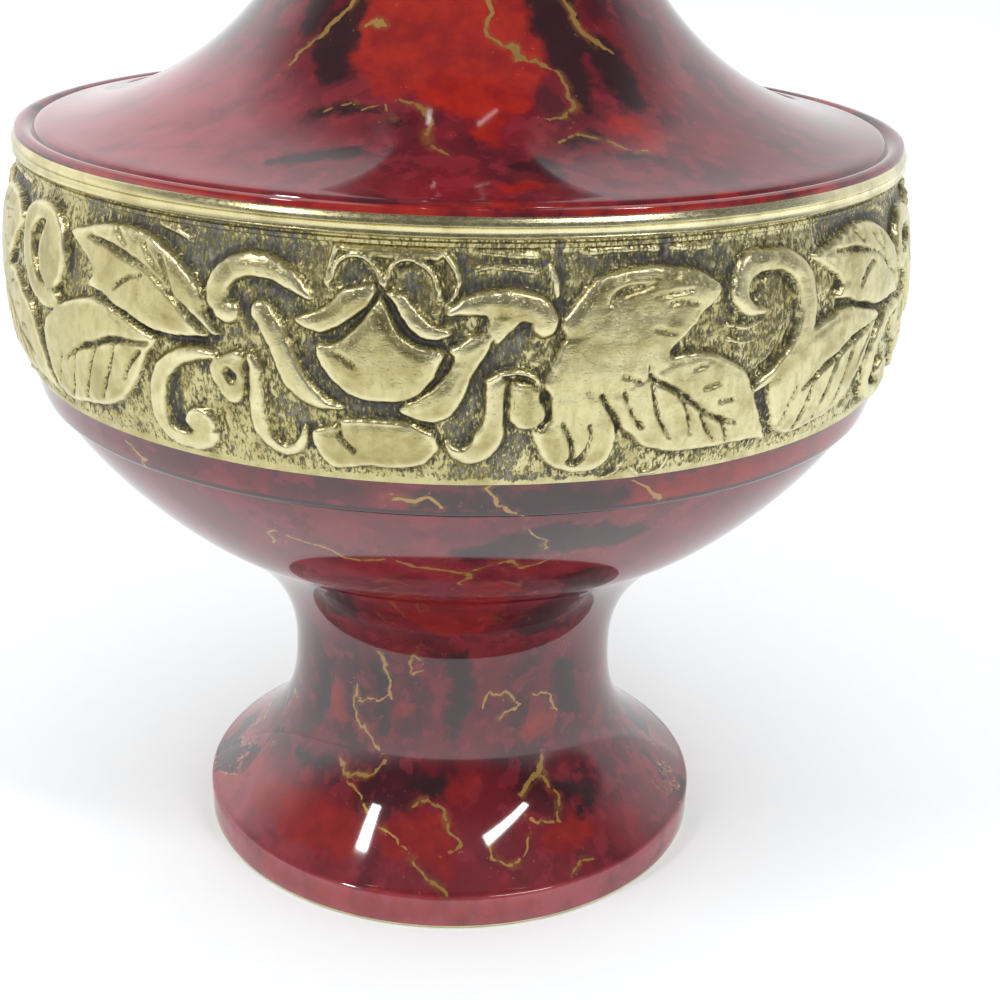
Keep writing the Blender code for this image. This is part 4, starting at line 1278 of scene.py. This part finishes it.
# Painted reflection of the floor: the foot's edge is made rosy.
painted_floor_reflection = at_height(tree, level, FOOT_EDGE_HEIGHT + 0.3, FOOT_EDGE_HEIGHT - 0.4, 0.0, 0.95)
bowl_blush = count(tree, "MULTIPLY",
                   at_height(tree, level, BOWL_ROOT_LEVEL - 5.2, BOWL_ROOT_LEVEL + 2.8, 0.0, 0.34),
                   at_height(tree, level, BAND_LEVEL + 0.3, BOWL_TOP_LEVEL - 1.3))
for blush in (foot_blush, painted_floor_reflection, bowl_blush):
    rosy_and_painted_reflection = count(tree, "MAXIMUM", rosy_and_painted_reflection, blush)
drifts = between(tree, noise(tree, tall, 6.0, 4.0, 0.6), 0.3, 0.6, 0.45, 0.9)
colour = blend(tree, count(tree, "MULTIPLY", rosy_and_painted_reflection, drifts), colour, ROSE_AND_REFLECTION_COLOUR)
cloud = between(tree, noise(tree, place, 3.0, 4.0, 0.6), 0.3, 0.7)
scarlet = blend(tree, cloud, DEEP_SCARLET, SCARLET_COLOUR)
colour = blend(tree, red, colour, scarlet)
colour = blend(tree, black, colour, BLACK_COLOUR)
# Painted shade: a dark band in the corner under the fillet.
painted_fillet_shade = count(tree, "MULTIPLY",
               at_height(tree, level, BOWL_TOP_LEVEL - 0.2, BOWL_TOP_LEVEL + 0.1, 0.0, 0.9),
               at_height(tree, level, BOWL_TOP_LEVEL + 1.1, BOWL_TOP_LEVEL + 0.7))
colour = blend(tree, painted_fillet_shade, colour, BLACK_COLOUR)
beside_vein = between(tree, count(tree, "ADD", kept(tree, "vein"), tear), 0.8, -0.2)
amber = count(tree, "MULTIPLY", beside_vein,
              between(tree, noise(tree, place, 3.5, 3.0), 0.45, 0.6, 0.0, 0.75))
colour = blend(tree, amber, colour, AMBER_COLOUR)
colour = blend(tree, gold, colour, GOLD_COLOUR)
tree.links.new(colour, shader.inputs["Base Color"])
tree.links.new(count(tree, "MULTIPLY", gold, 0.55), shader.inputs["Metallic"])
shader.inputs["Roughness"].default_value = 0.42
shader.inputs["Specular IOR Level"].default_value = 0.0
shader.inputs["Coat Weight"].default_value = 1.0
shader.inputs["Coat Roughness"].default_value = 0.06
shader.inputs["Coat IOR"].default_value = 1.73
flow = noise(tree, place, 6.0, 2.0)
bump = add(tree, "ShaderNodeBump", Strength=0.12, Distance=0.05 * MM, Height=flow)
tree.links.new(bump.outputs[0], shader.inputs["Normal"])
print("lacquer nodes:", len(tree.nodes))

# %% [markdown]
# ## The brass
#
# Bare brass is a metal shader with a warm yellow tint, and its look comes from what is on it. In
# the relief, dark patina fills the matted ground and the cuts, darkest in the corners beside the
# forms. Polishing has cleared it from the high spots, and the edges of the crests carry a painted
# highlight, a lighter brass colour. So the kept values, how proud, how sunk and how brown a spot
# is, decide between patina and polish, and noise makes the border between them ragged. The right
# side is painted lighter, a painted highlight for the brighter light that falls there. The turned
# ring and the foot's standing edge have fine lathe lines instead, and the unseen inside is left as
# dull as it was cast.

# %% Materials for the brass
BRASS_COLOUR = (0.56, 0.50, 0.255)
RIGHT_LIT_BRASS = (0.69, 0.635, 0.365)
PAINTED_HIGHLIGHT_BRASS = (0.80, 0.735, 0.45)
BROWN_BRASS = (0.33, 0.27, 0.10)
OLIVE_BRASS = (0.20, 0.175, 0.07)
PATINA_COLOUR = (0.100, 0.092, 0.082)
GREY_PATINA = (0.27, 0.255, 0.225)
DEEP_PATINA = (0.045, 0.040, 0.036)
TURNED_BRASS = (0.70, 0.63, 0.35)
RIGHT_LIT_TURNED_BRASS = (0.92, 0.86, 0.56)
LATHE_LINE_COLOUR = (0.25, 0.20, 0.09)
CAST_BRASS = (0.22, 0.17, 0.075)
CAST_STAIN = (0.09, 0.07, 0.04)


def painted_light_to_the_right(tree, place, left, right):
    """One colour that turns lighter towards the right, as painted light for that brighter side."""
    sideways = add(tree, "ShaderNodeSeparateXYZ", Vector=place).outputs["X"]
    return blend(tree, between(tree, sideways, -15 * MM, 35 * MM), left, right)


def bumpy(tree, shader, strength, depth, height):
    """Let a height that varies over the surface tilt its normals."""
    bump = add(tree, "ShaderNodeBump", Strength=strength, Distance=depth * MM, Height=height)
    tree.links.new(bump.outputs[0], shader.inputs["Normal"])


relief_brass, tree, shader, place = new_material("polished_relief_brass")
wear = use(tree, worn_metal, Vector=place)
speckle = noise(tree, stretched(tree, place, 1.0, 0.45), 0.28, 2.0, 0.6)
level = count(tree, "SUBTRACT", kept(tree, "proud"), kept(tree, "sunk"))
amount = between(tree, level, 0.72, 0.92, 2.5, 1.1)
ragged_edge = count(tree, "MULTIPLY", count(tree, "SUBTRACT", speckle, 0.5), amount)
level = count(tree, "ADD", level, ragged_edge)
tarnish = between(tree, level, 0.05, 0.35)
polish = between(tree, level, 0.3, 0.72)
hammered = noise(tree, stretched(tree, place, 1.0, 0.35), 0.9, 3.0, 0.6)
streaks = between(tree, hammered, 0.42, 0.7, 0.0, 0.4)
browned = count(tree, "MAXIMUM", count(tree, "MULTIPLY", wear["Stain"], 0.7), streaks)
uneven = between(tree, noise(tree, place, 1.6, 3.0, 0.6), 0.3, 0.65, 0.3, 0.8)
browned = count(tree, "MAXIMUM", browned, count(tree, "MULTIPLY", kept(tree, "shaded"), uneven))
# Painted light: the brass turns lighter towards the right, standing in for brighter light there.
metal = painted_light_to_the_right(tree, place, BRASS_COLOUR, RIGHT_LIT_BRASS)
metal = blend(tree, browned, metal, BROWN_BRASS)
# Painted highlight: the crests turn a lighter brass.
painted_crest_highlight = between(tree, kept(tree, "sunk"), -0.06, -0.30, 0.0, 0.75)
metal = blend(tree, painted_crest_highlight, metal, PAINTED_HIGHLIGHT_BRASS)
grime = between(tree, noise(tree, stretched(tree, place, 1.0, 0.4), 0.42, 3.0, 0.65), 0.42, 0.68)
patina = blend(tree, grime, PATINA_COLOUR, GREY_PATINA)
corners = between(tree, kept(tree, "sunk"), 0.05, 0.22, 0.0, 0.8)
patina = blend(tree, corners, patina, DEEP_PATINA)
dull = blend(tree, tarnish, patina, OLIVE_BRASS)
tree.links.new(blend(tree, polish, dull, metal), shader.inputs["Base Color"])
tree.links.new(between(tree, tarnish, 0.0, 1.0, 0.6, 1.0), shader.inputs["Metallic"])
gloss = count(tree, "ADD", between(tree, polish, 0.0, 1.0, 0.42, 0.24),
              count(tree, "MULTIPLY", wear["Scratch"], 0.14))
tree.links.new(gloss, shader.inputs["Roughness"])
height = count(tree, "ADD", count(tree, "MULTIPLY", hammered, 1.6), wear["Height"])
bumpy(tree, shader, 0.6, 0.05, height)

turned_brass, tree, shader, place = new_material("turned_brass")
wear = use(tree, worn_metal, Vector=place)
lines = noise(tree, stretched(tree, place, 0.02, 1.0), 0.25, 2.0, 0.7)
lines = between(tree, lines, 0.3, 0.7)
# Painted light: the turned ring turns lighter towards the right, for brighter light there.
metal = painted_light_to_the_right(tree, place, TURNED_BRASS, RIGHT_LIT_TURNED_BRASS)
metal = blend(tree, count(tree, "MULTIPLY", wear["Stain"], 0.4), metal, BROWN_BRASS)
metal = blend(tree, count(tree, "MULTIPLY", lines, 0.18), metal, LATHE_LINE_COLOUR)
tree.links.new(metal, shader.inputs["Base Color"])
shader.inputs["Metallic"].default_value = 1.0
tree.links.new(between(tree, wear["Scratch"], 0.2, 0.8, 0.16, 0.34), shader.inputs["Roughness"])
bumpy(tree, shader, 0.3, 0.02, lines)

cast_inside, tree, shader, place = new_material("cast_brass_inside")
wear = use(tree, worn_metal, Vector=place)
tree.links.new(blend(tree, wear["Stain"], CAST_BRASS, CAST_STAIN), shader.inputs["Base Color"])
shader.inputs["Metallic"].default_value = 0.8
tree.links.new(between(tree, wear["Scratch"], 0.2, 0.8, 0.5, 0.75), shader.inputs["Roughness"])
bumpy(tree, shader, 0.6, 0.12, wear["Height"])
print("materials:", [material.name for material in bpy.data.materials])

# %% [markdown]
# ## Give each surface its finish
#
# Lacquer covers the outside of the foot, the bowl, the rim, the neck and the lip. The ring above the
# relief is bare turned brass, up to the rounding of the rim, and so is the thin edge that the foot
# stands on.

# %% Assign the materials
for piece in (foot_and_bowl, neck_and_mouth):
    for material in (cast_inside, lacquer, turned_brass):
        piece.data.materials.append(material)
for half in belly_halves:
    for material in (cast_inside, relief_brass, turned_brass):
        half.data.materials.append(material)
finish_between(foot_and_bowl, 1, 0.0, BAND_LEVEL)
finish_between(foot_and_bowl, 2, 0.0, 0.35)
finish_between(neck_and_mouth, 1, RIM_LEVEL, LIP_LEVEL)
finish_between(neck_and_mouth, 1, LIP_LEVEL, TOP_LEVEL, inside=True)
finish_between(neck_and_mouth, 2, RIM_LEVEL - 0.5, RIM_LEVEL + 0.42)
for half in belly_halves:
    finish_between(half, 1, BAND_LEVEL, RING_LEVEL)
    finish_between(half, 2, RING_LEVEL, RIM_LEVEL)

# %% [markdown]
# ## Floor, light and camera
#
# The vase stands on a plain white floor in soft light from all round, with two bright windows that
# show as small hard highlights on the lacquer. Glossy surfaces show what is around them, so the
# studio that they see has white walls with three dark places: a large one above in front, a small
# one high on the right and a dim one high at the back.

# %% The floor
bm = bmesh.new()
bmesh.ops.create_grid(bm, x_segments=8, y_segments=8, size=4.0)
floor_mesh = bpy.data.meshes.new("floor")
bm.to_mesh(floor_mesh)
bm.free()
floor = bpy.data.objects.new("floor", floor_mesh)
bpy.context.collection.objects.link(floor)
paper, tree, shader, place = new_material("white_paper")
fibre = blend(tree, noise(tree, place, 4.0, 3.0), (0.885, 0.91, 0.915), (0.915, 0.935, 0.935))
tree.links.new(fibre, shader.inputs["Base Color"])
shader.inputs["Roughness"].default_value = 0.85
shader.inputs["Specular IOR Level"].default_value = 0.1
floor.data.materials.append(paper)

# %% The studio that lights the vase
WALL_COLOUR = (0.98, 0.99, 1.0)
DARK_COLOUR = (0.10, 0.10, 0.10)
DARK_PLACES = (
    ((0, -0.45, 0.893), 0.08, 0.60, 1.0),
    ((0.894, -0.19, 0.407), 0.88, 0.96, 0.85),
    ((0, 0.80, 0.60), 0.82, 0.97, 0.35),
)

world = bpy.data.worlds.new("studio")
bpy.context.scene.world = world
world.use_nodes = True
tree = world.node_tree
way = tree.nodes.new("ShaderNodeTexCoord").outputs["Generated"]
dark = 0.0
for direction, outer_edge, inner_edge, depth in DARK_PLACES:
    towards = add(tree, "ShaderNodeVectorMath", {"operation": "DOT_PRODUCT"}, i0=way,
                  i1=direction).outputs["Value"]
    dark = count(tree, "MAXIMUM", dark, between(tree, towards, outer_edge, inner_edge, 0.0, depth))
seen = blend(tree, dark, WALL_COLOUR, DARK_COLOUR)
sideways = add(tree, "ShaderNodeSeparateXYZ", Vector=way).outputs["X"]
wall = count(tree, "SUBTRACT", 1.15, count(tree, "MULTIPLY", sideways, 0.25))
rays = tree.nodes.new("ShaderNodeLightPath").outputs
lit = between(tree, rays["Is Camera Ray"], 0.0, 1.0, 1.10, 1.0)
room = add(tree, "ShaderNodeBackground", Color=(*WALL_COLOUR, 1), Strength=lit).outputs[0]
mirror = add(tree, "ShaderNodeBackground", Color=seen, Strength=wall).outputs[0]
both = add(tree, "ShaderNodeMixShader", i0=rays["Is Glossy Ray"], i1=room, i2=mirror).outputs[0]
tree.links.new(both, tree.nodes["World Output"].inputs["Surface"])


def window(name, one_end, other_end, width, power):
    """A long rectangular light between two points that faces the vase."""
    one_end, other_end = Vector(one_end), Vector(other_end)
    light = bpy.data.lights.new(name, "AREA")
    light.shape = "RECTANGLE"
    light.size, light.size_y, light.energy = width, (other_end - one_end).length, power
    lamp = bpy.data.objects.new(name, light)
    along = (other_end - one_end).normalized()
    across = along.cross((one_end + other_end).normalized()).normalized()
    turned_to = Matrix((across, along, across.cross(along))).transposed().to_4x4()
    lamp.matrix_world = Matrix.Translation((one_end + other_end) / 2) @ turned_to
    bpy.context.collection.objects.link(lamp)


window("window_left", (-0.66, -0.585, 0.76), (-0.575, -0.325, 0.96), 0.085, 3.0)
window("window_right", (0.72, -0.60, 0.75), (0.28, -0.57, 1.02), 0.075, 2.6)

# %% The camera
CAMERA_PLACE = (0.0, -0.21444, 0.13419)
CAMERA_YAW, CAMERA_PITCH, CAMERA_ROLL = (math.radians(angle) for angle in (1.66, 22.24, 1.69))
LENS = 59.55
forward = Vector((math.sin(CAMERA_YAW) * math.cos(CAMERA_PITCH),
                  math.cos(CAMERA_YAW) * math.cos(CAMERA_PITCH), -math.sin(CAMERA_PITCH)))
level_right = Vector((math.cos(CAMERA_YAW), -math.sin(CAMERA_YAW), 0))
level_up = level_right.cross(forward)
right = math.cos(CAMERA_ROLL) * level_right + math.sin(CAMERA_ROLL) * level_up
up = right.cross(forward)
camera = bpy.data.objects.new("camera", bpy.data.cameras.new("camera"))
camera.data.lens = LENS
camera.data.sensor_width = 36.0
camera.data.clip_start = 0.01
turned_frame = Matrix((right, up, -forward)).transposed().to_4x4()
camera.matrix_world = Matrix.Translation(CAMERA_PLACE) @ turned_frame
bpy.context.collection.objects.link(camera)
bpy.context.scene.camera = camera
bpy.context.scene.view_settings.view_transform = "Standard"
print("camera height, mm:", round(camera.location.z / MM, 1))
